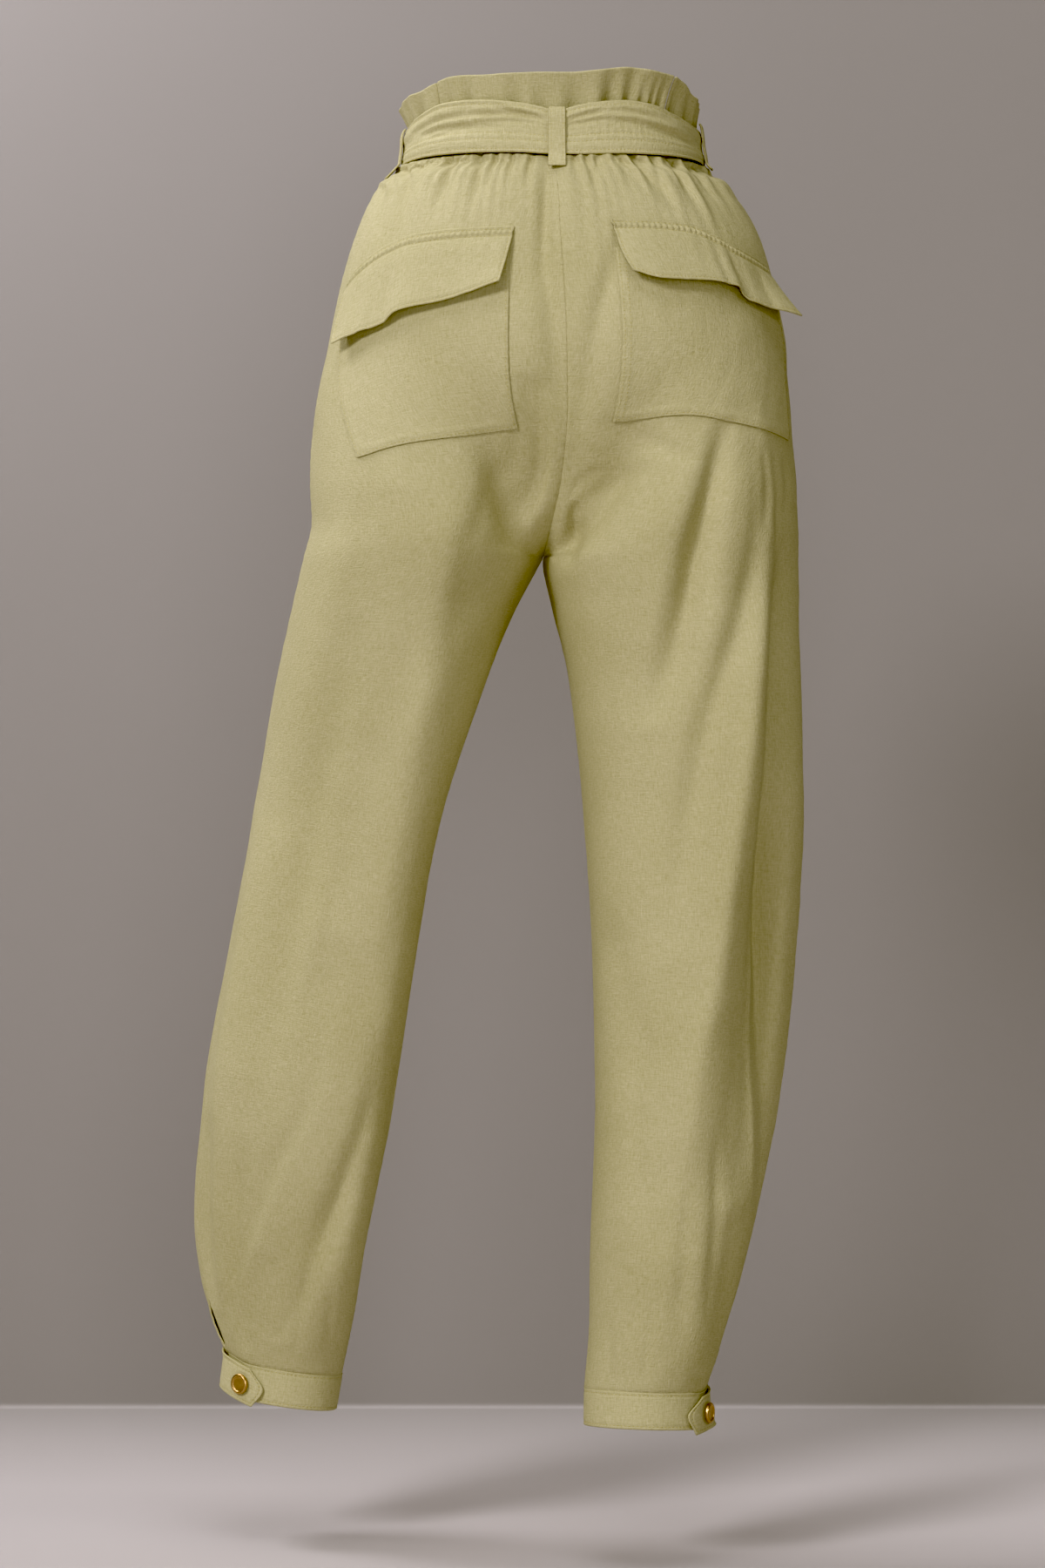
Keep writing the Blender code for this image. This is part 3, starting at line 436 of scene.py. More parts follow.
FOLD_SPREAD = 0.3  # a fold is left out this far round from its line
FOLD_SEAM_FADE = 0.05  # the folds fade out this close to a seam


def fold(side, a, z):
    """Depth of the long folds."""
    total = np.zeros(a.shape)
    for row in FOLDS[side]:
        rise, turn = row["z_top"] - row["z_end"], row["a_end"] - row["a_top"]
        along = (row["z_top"] - z) / rise
        line_a = row["a_top"] + turn * along
        marks = np.linspace(row["z_end"], row["z_top"], 25)
        marks_a = row["a_top"] + turn * (row["z_top"] - marks) / rise
        across = (a - line_a) * np.interp(z, marks, stretch_at(side, marks_a, marks)) / row["width"]
        strength = np.sin(math.pi * np.clip(along, 0, 1)) ** 0.7
        depth = row["depth"] * np.exp(-across * across) * strength
        total += np.where(np.abs(a - line_a) < FOLD_SPREAD, depth, 0)
    return total * eased(np.minimum(a, 1 - a) / FOLD_SEAM_FADE)


# Sharper creases on the back, drawn as they lie from behind: the course they take in x and z, their
# width at both ends and their depth, where below 0 is a trough. A held one is deepest at its start.
CREASES = table(
    "course width_top width_end depth held",
    # hip, wearer's left
    (((137, -50), (139, -80), (140, -112)), 4, 9, -2.9, 1),
    (((126, -44), (130, -62), (131, -86)), 3, 6, -2.5, 1),
    (((115, -40), (120, -74), (122, -112)), 4, 8, -4.5, 1),
    (((103, -38), (107, -52), (110, -68)), 3, 6, -2.5, 1),
    (((79, -36), (89, -64), (98, -96)), 4, 11, -4.5, 1),
    (((57, -32), (62, -56), (69, -88)), 3, 7, -4.5, 1),
    (((45, -31), (48, -46), (50, -62)), 2, 5, -2.5, 1),
    (((33, -32), (35, -46), (37, -60)), 2, 5, -3.1, 1),
    (((15, -30), (19, -44), (23, -62)), 2, 5, -4.2, 1),
    (((5, -34), (6, -70), (9, -110), (12, -160)), 4, 9, -6.5, 1),
    # hip, wearer's right
    (((-16, -31), (-16, -44), (-15, -56)), 2, 5, -2.5, 1),
    (((-24, -31), (-27, -44), (-29, -58)), 2, 5, -2.5, 1),
    (((-34, -31), (-33, -46), (-31, -66)), 2, 6, -3.1, 1),
    (((-47, -31), (-58, -46), (-72, -68)), 2, 6, -3.9, 1),
    (((-59, -32), (-76, -50), (-90, -70), (-97, -88)), 3, 8, -6.0, 1),
    (((-73, -32), (-84, -50), (-93, -74)), 2, 5, -2.9, 1),
    (((-88, -32), (-103, -52), (-112, -74), (-117, -96)), 3, 9, -6.0, 1),
    (((-101, -33), (-118, -54), (-130, -76), (-139, -102)), 3, 9, -5.3, 1),
    (((-110, -35), (-126, -58), (-143, -94)), 3, 7, -4.5, 1),
    (((-120, -38), (-138, -64), (-154, -102)), 3, 7, -3.9, 1),
    # seat and left leg
    (((-1, -40), (2, -69), (5, -118), (-1, -166), (-7, -214), (-9, -258)), 6, 15, -5.0, 0),
    (((21, -207), (20, -247), (23, -284), (29, -322)), 12, 14, -8.0, 0),
    (((8, -234), (14, -281), (24, -328)), 3, 6, -1.4, 0),
    (((14, -224), (22, -268), (32, -315)), 3, 5, -1.2, 0),
    (((32, -234), (37, -268), (44, -301)), 4, 6, -1.5, 0),
    (((42, -254), (50, -298), (69, -345), (77, -388), (94, -453)), 9, 15, -2.4, 0),
    (((19, -262), (25, -295), (33, -342)), 5, 8, -1.2, 0),
    (((140, -254), (149, -322), (160, -389)), 8, 12, -1.5, 0),
    (
        (
            (123, -295), (144, -362), (166, -437), (181, -491), (195, -534), (207, -608),
            (217, -682), (233, -747), (251, -803),
        ),
        22, 15, -6.5, 0,
    ),
    (
        (
            (62, -271), (70, -315), (82, -365), (95, -426), (112, -491), (127, -559),
            (138, -633), (147, -691),
        ),
        20, 13, 7.0, 0,
    ),
    (((128, -525), (149, -608), (163, -684), (183, -783), (198, -874)), 14, 10, 2.6, 0),
    (((169, -580), (179, -630), (187, -669), (204, -719)), 4, 7, -1.4, 0),
    (((224, -491), (232, -528), (252, -660), (268, -758), (273, -824)), 7, 6, 2.7, 0),
    (((253, -824), (257, -874), (262, -924), (266, -968)), 5, 5, -2.7, 0),
    (((187, -733), (197, -776), (230, -838), (250, -895), (264, -943), (272, -983)), 10, 6, -3.6, 0),
    (((134, -719), (142, -773), (165, -838), (188, -895), (206, -941), (221, -976)), 15, 8, -8.0, 0),
    (((114, -498), (127, -552), (142, -608)), 8, 10, -1.4, 0),
    (((199, -917), (204, -954), (209, -990)), 4, 5, -1.4, 0),
    (((178, -932), (181, -968), (186, -996)), 4, 5, -1.4, 0),
    # right leg
    (((-158, -51), (-173, -93), (-184, -142), (-187, -197)), 13, 12, 4.5, 0),
    (((-54, -76), (-46, -118), (-34, -166), (-28, -214), (-26, -254)), 8, 10, -4.0, 0),
    (
        (
            (-134, -238), (-130, -261), (-124, -291), (-114, -330), (-104, -376), (-88, -433),
            (-73, -481),
        ),
        9, 15, -13.5, 0,
    ),
    (((-47, -239), (-66, -254), (-90, -268), (-110, -278)), 9, 10, -2.2, 0),
    (
        (
            (-167, -254), (-165, -295), (-157, -349), (-144, -403), (-121, -471), (-107, -539),
            (-98, -607), (-92, -661),
        ),
        9, 14, -6.2, 0,
    ),
    (
        (
            (-156, -207), (-167, -295), (-165, -349), (-161, -403), (-154, -471), (-146, -539),
            (-137, -607), (-128, -675), (-112, -743), (-99, -811), (-89, -866),
        ),
        6, 14, 5.0, 0,
    ),
    (
        (
            (-179, -295), (-182, -349), (-178, -416), (-175, -471), (-172, -539), (-171, -620),
            (-170, -675), (-166, -729), (-160, -791), (-149, -852),
        ),
        7, 10, -9.0, 0,
    ),
    (((-168, -545), (-167, -593), (-166, -648), (-164, -702), (-162, -750)), 4, 4, 2.6, 0),
    (((-191, -511), (-185, -612), (-177, -695), (-170, -770)), 6, 6, 2.2, 0),
    (((-66, -274), (-43, -292), (-13, -315)), 8, 6, -2.8, 0),
    (((-43, -276), (-26, -289), (-9, -303)), 6, 4, -2.2, 0),
    (((-21, -303), (-15, -319), (-10, -336), (-9, -355)), 9, 7, -9.0, 0),
    (((-163, -260), (-167, -295), (-165, -334)), 3, 4, -2.2, 0),
    (((-172, -262), (-177, -308), (-174, -355)), 3, 4, -1.9, 0),
    (((-181, -260), (-184, -295), (-182, -322)), 3, 3, -1.4, 0),
    (((-67, -695), (-62, -784), (-66, -880)), 9, 11, -1.9, 0),
    (((-104, -825), (-101, -894), (-95, -977)), 7, 9, -2.0, 0),
    (((-129, -798), (-126, -880), (-120, -963)), 5, 7, -2.5, 0),
    (((-71, -349), (-63, -416), (-58, -484)), 8, 11, -1.3, 0),
    (((-43, -620), (-51, -675), (-54, -729)), 9, 10, -1.3, 0),
    (((-74, -935), (-72, -970), (-69, -998)), 4, 5, -1.3, 0),
    (((-45, -949), (-43, -977), (-41, -998)), 4, 5, -1.2, 0),
)
CREASE_BLUR = 3.0  # a crease is left out this many widths away
CREASE_START = 0.12  # a held crease has faded out this share of its length above its start
CREASE_END = 0.8  # and fades over this share of its length towards its end


def crease(points):
    """Depth of the sharper creases at points of the back."""
    x, z = points[..., 0], points[..., 2]
    total = np.zeros(x.shape)
    for row in CREASES:
        course = table("x z", *row["course"])
        top, end = course[0], course[-1]
        along = (top["z"] - z) / (top["z"] - end["z"])
        share = np.clip(along, 0, 1)
        slope = abs((end["x"] - top["x"]) / (end["z"] - top["z"]))
        width = row["width_top"] + (row["width_end"] - row["width_top"]) * share
        across = (x - smooth(course, "x", z)) / width / math.hypot(1, slope)
        if row["held"]:
            strength = eased((1 - share) / CREASE_END) * eased((along + CREASE_START) / CREASE_START)
        else:
            strength = np.sin(math.pi * share) ** 0.8
        inside = (along > -CREASE_START) & (along < 1) & (np.abs(across) < CREASE_BLUR)
        total += np.where(inside, row["depth"] * strength * np.exp(-across * across), 0)
    return total


# Gathers: the middle of each small swell under the waistband behind, from the back seam to the side.
# Those in front have uneven widths and are flat past the pocket mouth.
SWELLS = {
    LEFT: (
        0.985, 0.968, 0.951, 0.936, 0.92, 0.902, 0.882, 0.86, 0.838,
        0.815, 0.79, 0.76, 0.725, 0.685, 0.64, 0.585, 0.53,
    ),
    RIGHT: (
        0.98, 0.957, 0.936, 0.918, 0.9, 0.875, 0.855, 0.831,
        0.804, 0.772, 0.738, 0.70, 0.655, 0.605, 0.555, 0.515,
    ),
}
FRONT_GATHERS, POCKET_MOUTH_A = 8, 0.25
SWELL_HEIGHT, SWELL_REACH = 3.1, 25
SWELL_TOP_Z, SWELL_FULL_Z = -28, -36
PUFF_BACK, PUFF_SIDE, PUFF_SPREAD = 5.2, 8.5, 0.13  # the gathers puff out right under the belt
PUFF_TOP_Z, PUFF_END_Z, PUFF_EDGE = -32, -60, 2.6
PUFF_FROM_A, PUFF_FADE_A = 0.3, 0.12
BELT_FOOT_Z, BELT_DIP, BELT_DIP_SPREAD = -29.3, 2.2, 0.06  # the belt's lower edge dips behind


def gather_edges(first, last, count, seed):
    """Uneven borders between gathers, from first to last."""
    draw = random.Random(seed)
    widths = [0.7 + 0.6 * draw.random() for _ in range(count)]
    return first + (last - first) * np.concatenate([[0], np.cumsum(widths)]) / sum(widths)


def swell_edges(side):
    """Borders between all the gathers of one half, from the front seam round to the back seam."""
    middles = np.array(sorted(SWELLS[side]))
    between = (middles[:-1] + middles[1:]) / 2
    front = gather_edges(0, 0.5, FRONT_GATHERS, 5 + side)
    return np.concatenate([front, between, [1]])


def gather(side, a, z):
    """Height of the gathers: round swells between sharp troughs, each with its own length."""
    edges = swell_edges(side)
    k = np.clip(np.searchsorted(edges, a, side="right") - 1, 0, len(edges) - 2)
    across = (a - edges[k]) / (edges[k + 1] - edges[k])
    height = SWELL_HEIGHT * (0.72 + 0.28 * np.sin(5 * k + side))
    flattened = 1 - 0.8 * eased((a - POCKET_MOUTH_A + 0.03) / 0.06)
    height = np.where(a < 0.5, height * flattened, height)
    reach = SWELL_REACH * (1 + 0.45 * np.sin(7 * k + 2 * side))
    risen = 0.3 + 0.7 * eased((SWELL_TOP_Z - z) / (SWELL_TOP_Z - SWELL_FULL_Z))
    fade = np.exp(-np.maximum(0, SWELL_FULL_Z - z) / reach)
    swell = height * risen * fade * (np.sin(math.pi * np.clip(across, 0, 1)) ** 2 - 0.35)
    puff = PUFF_BACK + (PUFF_SIDE - PUFF_BACK) * np.exp(-(((a - 0.5) / PUFF_SPREAD) ** 2))
    foot = BELT_FOOT_Z - BELT_DIP * np.exp(-(((1 - a) / BELT_DIP_SPREAD) ** 2))
    puff = puff * eased((foot - z) / PUFF_EDGE) * eased((z - PUFF_END_Z) / (PUFF_TOP_Z - PUFF_END_Z))
    return swell + puff * eased((a - PUFF_FROM_A) / PUFF_FADE_A)


SHIRRED_SIDE, SHIRRED_A, SHIRRED_EDGE_A = LEFT, (0.60, 0.87), 0.03
SHIRRED_TOP_Z, SHIRRED_END_Z = -29, -42
SHIRRED_HEIGHT, SHIRRED_PITCH = 1.1, 6.2


def shirring(side, a, z, around_mm):
    """The fine crinkles where the elastic casing pulls hardest, at the wearer's left back."""
    if side != SHIRRED_SIDE:
        return np.zeros(a.shape)
    low, high = SHIRRED_A
    inside = eased((a - low) / SHIRRED_EDGE_A) * eased((high - a) / SHIRRED_EDGE_A)
    inside = inside * eased((SHIRRED_TOP_Z - z) / 4) * eased((z - SHIRRED_END_Z) / 7)
    phase = 2 * math.pi * around_mm / SHIRRED_PITCH
    wander = 1.6 * np.sin(z * 0.75 + around_mm * 0.21) + 1.1 * np.sin(z * 0.4 - around_mm * 0.13)
    unevenness = 0.7 + 0.3 * np.sin(around_mm * 0.37)
    return SHIRRED_HEIGHT * inside * np.sin(phase + wander) * unevenness


# Waves of unevenness: how many, from the shortest to the longest, and how deep at a usual length.
RUMPLE_WAVES, RUMPLE_LENGTHS, RUMPLE_DEPTH, RUMPLE_USUAL = 16, (26, 95), 0.22, 60
STREAK_WAVES, STREAK_LENGTHS, STREAK_DEPTH, STREAK_USUAL = 12, (7, 26), 0.075, 14


def streaks(first_mm, second_mm, seed):
    """Fine crinkles that run down the cloth and wander a little."""
    draw = random.Random(seed)
    total = 0
    for _ in range(STREAK_WAVES):
        length = STREAK_LENGTHS[0] + (STREAK_LENGTHS[1] - STREAK_LENGTHS[0]) * draw.random()
        lean = draw.gauss(0, 0.09)
        phase = draw.random() * 2 * math.pi
        bend = draw.uniform(0.8, 2.2) * np.sin(second_mm / draw.uniform(30, 90) + phase * 3)
        swell = np.sin(second_mm / draw.uniform(25, 70) + first_mm / draw.uniform(20, 60) + phase)
        depth = STREAK_DEPTH * (length / STREAK_USUAL) * (0.55 + 0.45 * swell)
        wave = first_mm + lean * second_mm
        total = total + depth * np.sin(2 * math.pi * wave / length + phase + bend)
    return total / math.sqrt(STREAK_WAVES / 2)


def rumple(first_mm, second_mm, seed):
    """Low, slow unevenness that crisp linen always has, from a few seeded waves."""
    draw = random.Random(seed)
    total = 0
    for _ in range(RUMPLE_WAVES):
        length = RUMPLE_LENGTHS[0] * (RUMPLE_LENGTHS[1] / RUMPLE_LENGTHS[0]) ** draw.random()
        heading = draw.gauss(0.25, 0.75)
        phase = draw.random() * 2 * math.pi
        wave = first_mm * math.cos(heading) + second_mm * math.sin(heading)
        depth = RUMPLE_DEPTH * (length / RUMPLE_USUAL)
        total = total + depth * np.sin(2 * math.pi * wave / length + phase)
    return total / math.sqrt(RUMPLE_WAVES / 2)


def outward_flat(side, a, z):
    """The level outward direction of the form."""
    step = 0.004
    along = form(side, np.minimum(a + step, 1), z) - form(side, np.maximum(a - step, 0), z)
    outward = unit(stacked(along[..., 1] * side, -along[..., 0] * side, 0))
    in_seam = ((a <= 0) | (a >= 1)) & (z > CROTCH_Z)
    straight = stacked(0, np.where(a < 0.5, -1.0, 1.0), 0)
    return np.where(in_seam[..., None], straight, outward)


CLOTH_AROUND = table("z across", (-345, 290), (-200, 400), (-30, 340))  # roughly, for half the trousers
SEAM_FADE_A = 0.02  # small creases fade out this close to a seam
SIDE_FADE_A = 0.04  # the back's creases fade out over this much before the side seam
CREASED_SEAM, CREASED_RISE = 0.5, 40  # how much of a crease the centre seam keeps, above the crotch
RUMPLE_TOP = 12  # the fine unevenness begins over this height under the waistband


def leg_surface(side, a, z):
    """The folded, creased and gathered outer face of one half of the trousers."""
    a, z = np.broadcast_arrays(np.asarray(a, float), np.asarray(z, float))
    plain = form(side, a, z)
    marks, widths = [[row[key] for row in CLOTH_AROUND] for key in ("z", "across")]
    around_mm = (a - 0.5) * np.interp(z, marks, widths)
    near_seam = eased(np.minimum(a, 1 - a) / SEAM_FADE_A)
    depth = fold(side, a, z) + gather(side, a, z) + shirring(side, a, z, around_mm)
    held = CREASED_SEAM * eased((z - CROTCH_Z) / CREASED_RISE)
    creased = np.where(a > 0.5, crease(plain), 0) * eased((a - 0.5) / SIDE_FADE_A)
    depth = depth + creased * (held + (1 - held) * near_seam)
    off_seam = (plain[..., 0] - smooth(HIPS, "seam_x", z)) / smooth(CLEFT, "width", z)
    depth = depth + np.where(a > 0.5, smooth(CLEFT, "depth", z) * np.exp(-off_seam * off_seam), 0)
    loose = near_seam * eased((WAIST_SEAM_Z - z) / RUMPLE_TOP)
    depth = depth + (rumple(around_mm, z, 11 + side) + streaks(around_mm, z, 51 + side)) * loose
    under = smooth(LAP, "step", z) * eased((smooth(LAP, "x", z) - plain[..., 0]) / LAP_WIDTH)
    under = under * eased((a - LAP_FROM_A) / LAP_FADE_A) * (side == RIGHT)
    return plain + outward_flat(side, a, z) * depth[..., None] - stacked(0, under, 0)


def facing(points, ring=False):
    """Unit normals of a grid of points, on the side where down, then across, turn left."""
    if ring:
        across = np.roll(points, -1, 1) - np.roll(points, 1, 1)
    else:
        across = np.gradient(points, axis=1)
    return unit(np.cross(np.gradient(points, axis=0), across))


def cloth_measure(points, ring=False):
    """How far each point of a grid lies across and down the cloth, in millimetres."""
    wide = np.concatenate([points, points[:, :1]], 1) if ring else points
    steps = np.linalg.norm(np.diff(wide, axis=1), axis=-1)
    across = np.concatenate([np.zeros((len(points), 1)), np.cumsum(steps, 1)], 1)
    middle = across.shape[1] // 2
    across = across - across[:, middle : middle + 1]
    fall = np.linalg.norm(np.diff(points[:, points.shape[1] // 2], axis=0), axis=-1)
    down = np.concatenate([[0], np.cumsum(fall)])[:, None] + np.zeros(across.shape)
    return across, down


def mesh_piece(name, points, faces, finish, uv=None):
    """A smooth mesh object from points in millimetres. uv is in millimetres of cloth."""
    mesh = bpy.data.meshes.new(name)
    mesh.from_pydata((points * MM).tolist(), [], faces.tolist())
    if uv is not None:
        layer = mesh.uv_layers.new(name="cloth")
        layer.data.foreach_set("uv", (uv * MM).astype(np.float32).ravel())
    mesh.shade_smooth()
    mesh.materials.append(finish)
    piece = bpy.data.objects.new(name, mesh)
    scene.collection.objects.link(piece)
    return piece


EDGE_ROUND = 0.8  # how far a folded edge bulges, as a share of half its thickness


def cloth_piece(name, outer, thick, finish, ring=False, flip=False, inner=None):
    """A closed piece of cloth under a grid of points, with its edges folded round."""
    rows, columns = outer.shape[:2]
    outward = facing(outer, ring) * (-1 if flip else 1)
    if inner is None:
        inner = outer - outward * thick
    across, down = cloth_measure(outer, ring)
    spans = columns if ring else columns - 1
    i, j = np.meshgrid(np.arange(rows - 1), np.arange(spans), indexing="ij")
    i, j = i.ravel(), j.ravel()
    corners = [(i, j), (i + 1, j), (i + 1, j + 1), (i, j + 1)]
    quads = np.stack([r * columns + c % columns for r, c in corners], 1)
    quads_uv = np.stack([np.stack([across[r, c], down[r, c]], 1) for r, c in corners], 1)
    layer = rows * columns
    last = rows - 1
    if ring:
        loops = [[(0, c) for c in range(spans + 1)], [(last, c) for c in range(spans, -1, -1)]]
    else:
        top, bottom = [(0, c) for c in range(columns)], [(last, c) for c in range(columns)]
        left, right = [(r, 0) for r in range(rows)], [(r, columns - 1) for r in range(rows)]
        loops = [top + right[1:] + bottom[::-1][1:] + left[::-1][1:]]
    points = [outer.reshape(-1, 3), inner.reshape(-1, 3)]
    faces, faces_uv = [quads, quads[:, ::-1] + layer], [quads_uv, quads_uv[:, ::-1]]
    start = 2 * layer
    for loop in loops:
        r, c = np.array(loop).T
        at = r * columns + c % columns
        near_r = np.clip(r, 1, rows - 2)
        near_c = c % columns if ring else np.clip(c, 1, columns - 2)
        out_edge, in_edge = outer[r, c % columns], inner[r, c % columns]
        away = unit(out_edge - outer[near_r, near_c])
        half = np.linalg.norm(out_edge - in_edge, axis=-1, keepdims=True) / 2
        middle = (out_edge + in_edge) / 2 + away * half * EDGE_ROUND
        count = len(loop) - 1
        points.append(middle[:count])
        k, after = np.arange(count), (np.arange(count) + 1) % count
        place = np.stack([across[r, c], down[r, c]], 1)
        for first, second in ((at, None), (None, at + layer)):
            a0, a1 = (first[k], first[k + 1]) if first is not None else (start + k, start + after)
            b0, b1 = (start + k, start + after) if second is None else (second[k], second[k + 1])
            faces.append(np.stack([a0, a1, b1, b0], 1))
            faces_uv.append(np.stack([place[k], place[k + 1], place[k + 1], place[k]], 1))
        start += count
    points, faces, faces_uv = np.concatenate(points), np.concatenate(faces), np.concatenate(faces_uv)
    if flip:
        faces, faces_uv = faces[:, ::-1], faces_uv[:, ::-1]
    return mesh_piece(name, points, faces, finish, faces_uv.reshape(-1, 2))


WARP_PITCH, WEFT_PITCH = 0.62, 0.66


def linen_weave():
    """A shader group for slubby plain-weave linen: colour, roughness and height from cloth places."""
    group = bpy.data.node_groups.new("linen_weave", "ShaderNodeTree")
    for direction, name, kind in (
        ("INPUT", "Cloth", "Vector"),
        ("INPUT", "Dark thread", "Color"),
        ("INPUT", "Light thread", "Color"),
        ("INPUT", "Rumple", "Float"),
        ("OUTPUT", "Colour", "Color"),
        ("OUTPUT", "Roughness", "Float"),
        ("OUTPUT", "Height", "Float"),
    ):
        group.interface.new_socket(name, in_out=direction, socket_type=f"NodeSocket{kind}")
    given = group.nodes.new("NodeGroupInput")
    out = group.nodes.new("NodeGroupOutput")
    to_mm = (1 / MM, 1 / MM, 1 / MM)
    scaled = add_node(
        group, "ShaderNodeVectorMath", (0, given.outputs["Cloth"]), (1, to_mm), operation="MULTIPLY"
    )
    measure = scaled.outputs[0]

    def threads(stretch, shift, detail, spread=0.55):
        """Noise that is stretched along one set of threads."""
        place = add_node(
            group, "ShaderNodeMapping", ("Vector", measure), ("Scale", (*stretch, 1)), ("Location", shift)
        )
        noise = add_node(
            group,
            "ShaderNodeTexNoise",
            ("Vector", place.outputs[0]),
            ("Scale", 1.0),
            ("Detail", detail),
            ("Roughness", spread),
        )
        return noise.outputs["Fac"]

    def sums(operation, first, second, third=None):
        """A sum, product or sine of one, two or three values."""
        links = [(0, first), (1, second)] + ([(2, third)] if third is not None else [])
        return add_node(group, "ShaderNodeMath", *links, operation=operation).outputs[0]

    def ramp(value, low, high, to_low=0.0, to_high=1.0):
        """A value stretched from low and high to other ends, and held between them."""
        made = add_node(
            group,
            "ShaderNodeMapRange",
            ("Value", value),
            ("From Min", low),
            ("From Max", high),
            ("To Min", to_low),
            ("To Max", to_high),
        )
        return made.outputs[0]

    warp = threads((1.15, 0.11), (3, 1, 0), 3.0)
    weft = threads((0.10, 1.2), (7, 2, 0), 3.0)
    thick_warp = ramp(threads((0.80, 0.045), (1, 9, 4), 1.0), 0.62, 0.76)
    thick_weft = ramp(threads((0.045, 0.85), (5, 3, 8), 1.0), 0.62, 0.76)
    crepe = ramp(threads((0.78, 0.27), (2, 6, 1), 3.0, 0.6), 0.36, 0.64)
    cross = ramp(threads((0.25, 0.74), (6, 3, 7), 3.0, 0.6), 0.36, 0.64)
    cloud = threads((0.011, 0.008), (4, 4, 2), 2.0)
    soft = threads((0.11, 0.035), (8, 1, 5), 2.0)
    split = add_node(group, "ShaderNodeSeparateXYZ", (0, measure))
    over = sums("SINE", sums("MULTIPLY", split.outputs[0], math.pi / WARP_PITCH), 0.0)
    under = sums("SINE", sums("MULTIPLY", split.outputs[1], math.pi / WEFT_PITCH), 0.0)
    weave = sums("MULTIPLY", over, under)
    tone = sums("MULTIPLY_ADD", warp, 1.0, -0.5)
    tone = sums("ADD", tone, sums("MULTIPLY_ADD", weft, 0.75, -0.375))
    tone = sums("MULTIPLY_ADD", thick_warp, 0.16, tone)
    tone = sums("MULTIPLY_ADD", thick_weft, 0.18, tone)
    tone = sums("MULTIPLY_ADD", crepe, 0.19, sums("ADD", tone, -0.095))
    tone = sums("MULTIPLY_ADD", cross, 0.17, sums("ADD", tone, -0.085))
    tone = sums("MULTIPLY_ADD", cloud, 0.45, sums("ADD", tone, -0.225))
    tone = sums("MULTIPLY_ADD", weave, 0.05, sums("ADD", tone, 0.46))
    colour = mixed_colour(group, tone, given.outputs["Dark thread"], given.outputs["Light thread"])
    group.links.new(colour, out.inputs["Colour"])
    group.links.new(ramp(tone, 0.2, 0.8, 0.96, 0.84), out.inputs["Roughness"])
    height = sums("MULTIPLY", weave, 0.012)
    height = sums("MULTIPLY_ADD", warp, 0.13, height)
    height = sums("MULTIPLY_ADD", weft, 0.09, height)
    height = sums("MULTIPLY_ADD", thick_warp, 0.08, height)
    height = sums("MULTIPLY_ADD", thick_weft, 0.08, height)
    height = sums("MULTIPLY_ADD", crepe, 0.20, height)
    height = sums("MULTIPLY_ADD", cross, 0.18, height)
    height = sums("MULTIPLY_ADD", soft, given.outputs["Rumple"], height)
    group.links.new(height, out.inputs["Height"])
    return group


WEAVE = linen_weave()


def linen_material(name, dark, light, rumple_mm):
    """Matte linen with its weave, on the cloth's own measure."""
    made, tree, shader = new_material(name)
    place = add_node(tree, "ShaderNodeUVMap", uv_map="cloth").outputs[0]
    weave = add_node(tree, "ShaderNodeGroup", node_tree=WEAVE)
    tree.links.new(place, weave.inputs["Cloth"])
    weave.inputs["Dark thread"].default_value = (*dark, 1)
    weave.inputs["Light thread"].default_value = (*light, 1)
    weave.inputs["Rumple"].default_value = rumple_mm
    tree.links.new(weave.outputs["Colour"], shader.inputs["Base Color"])
    tree.links.new(weave.outputs["Roughness"], shader.inputs["Roughness"])
    bump = add_node(tree, "ShaderNodeBump", ("Height", weave.outputs["Height"]), ("Distance", MM))
    bump.inputs["Strength"].default_value = 0.8
    tree.links.new(bump.outputs[0], shader.inputs["Normal"])
    shader.inputs["Specular IOR Level"].default_value = 0.22
    shader.inputs["Sheen Weight"].default_value = 0.12
    shader.inputs["Sheen Roughness"].default_value = 0.6
    shader.inputs["Sheen Tint"].default_value = (0.9, 0.86, 0.6, 1)
    return made


LINEN = linen_material("linen", (0.370, 0.334, 0.197), (0.534, 0.488, 0.346), 0.60)
# The second copy is the same linen painted lighter: painted light on the belt, knot, loops, cuffs, vent
# strips and pocket edges.
LINEN_PAINTED_LIGHTER = linen_material("linen_turned", (0.393, 0.356, 0.212), (0.561, 0.514, 0.364), 0.45)


def sampled(grid, row, column):
    """Points of a grid at rows and columns that may be fractions."""
    row = np.clip(row, 0, grid.shape[0] - 1)
    column = np.clip(column, 0, grid.shape[1] - 1)
    r = np.minimum(row.astype(int), grid.shape[0] - 2)
    c = np.minimum(column.astype(int), grid.shape[1] - 2)
    s, t = (row - r)[..., None], (column - c)[..., None]
    upper = grid[r, c] * (1 - t) + grid[r, c + 1] * t
    lower = grid[r + 1, c] * (1 - t) + grid[r + 1, c + 1] * t
    return upper * (1 - s) + lower * s


def line_on(grid, outward, row, column):
    """A line on a grid, as (points, outward directions). row and column may be fractions."""
    row, column = np.broadcast_arrays(np.asarray(row, float), np.asarray(column, float))
    return sampled(grid, row, column), sampled(outward, row, column)


def run_along(points):
    """How far each point of a line lies from its start."""
    return np.concatenate([[0], np.cumsum(np.linalg.norm(np.diff(points, axis=0), axis=-1))])


def along_line(places, reach, values):
    """What a line holds at some places along it."""
    return np.stack([np.interp(places, reach, values[:, k]) for k in range(values.shape[1])], 1)


STITCH_PITCH, STITCH_LENGTH, STITCH_WIDTH = 3.2, 2.1, 0.7
STITCH_SUNK = 0.12  # how deep a stitch's ends sink into the cloth
# A stitch is a grain of thread with two ends, two sides, a top and an underside, in that order.
STITCH_FACES = np.array(
    [(0, 4, 2), (0, 3, 4), (0, 5, 3), (0, 2, 5), (1, 2, 4), (1, 4, 3), (1, 3, 5), (1, 5, 2)]
)


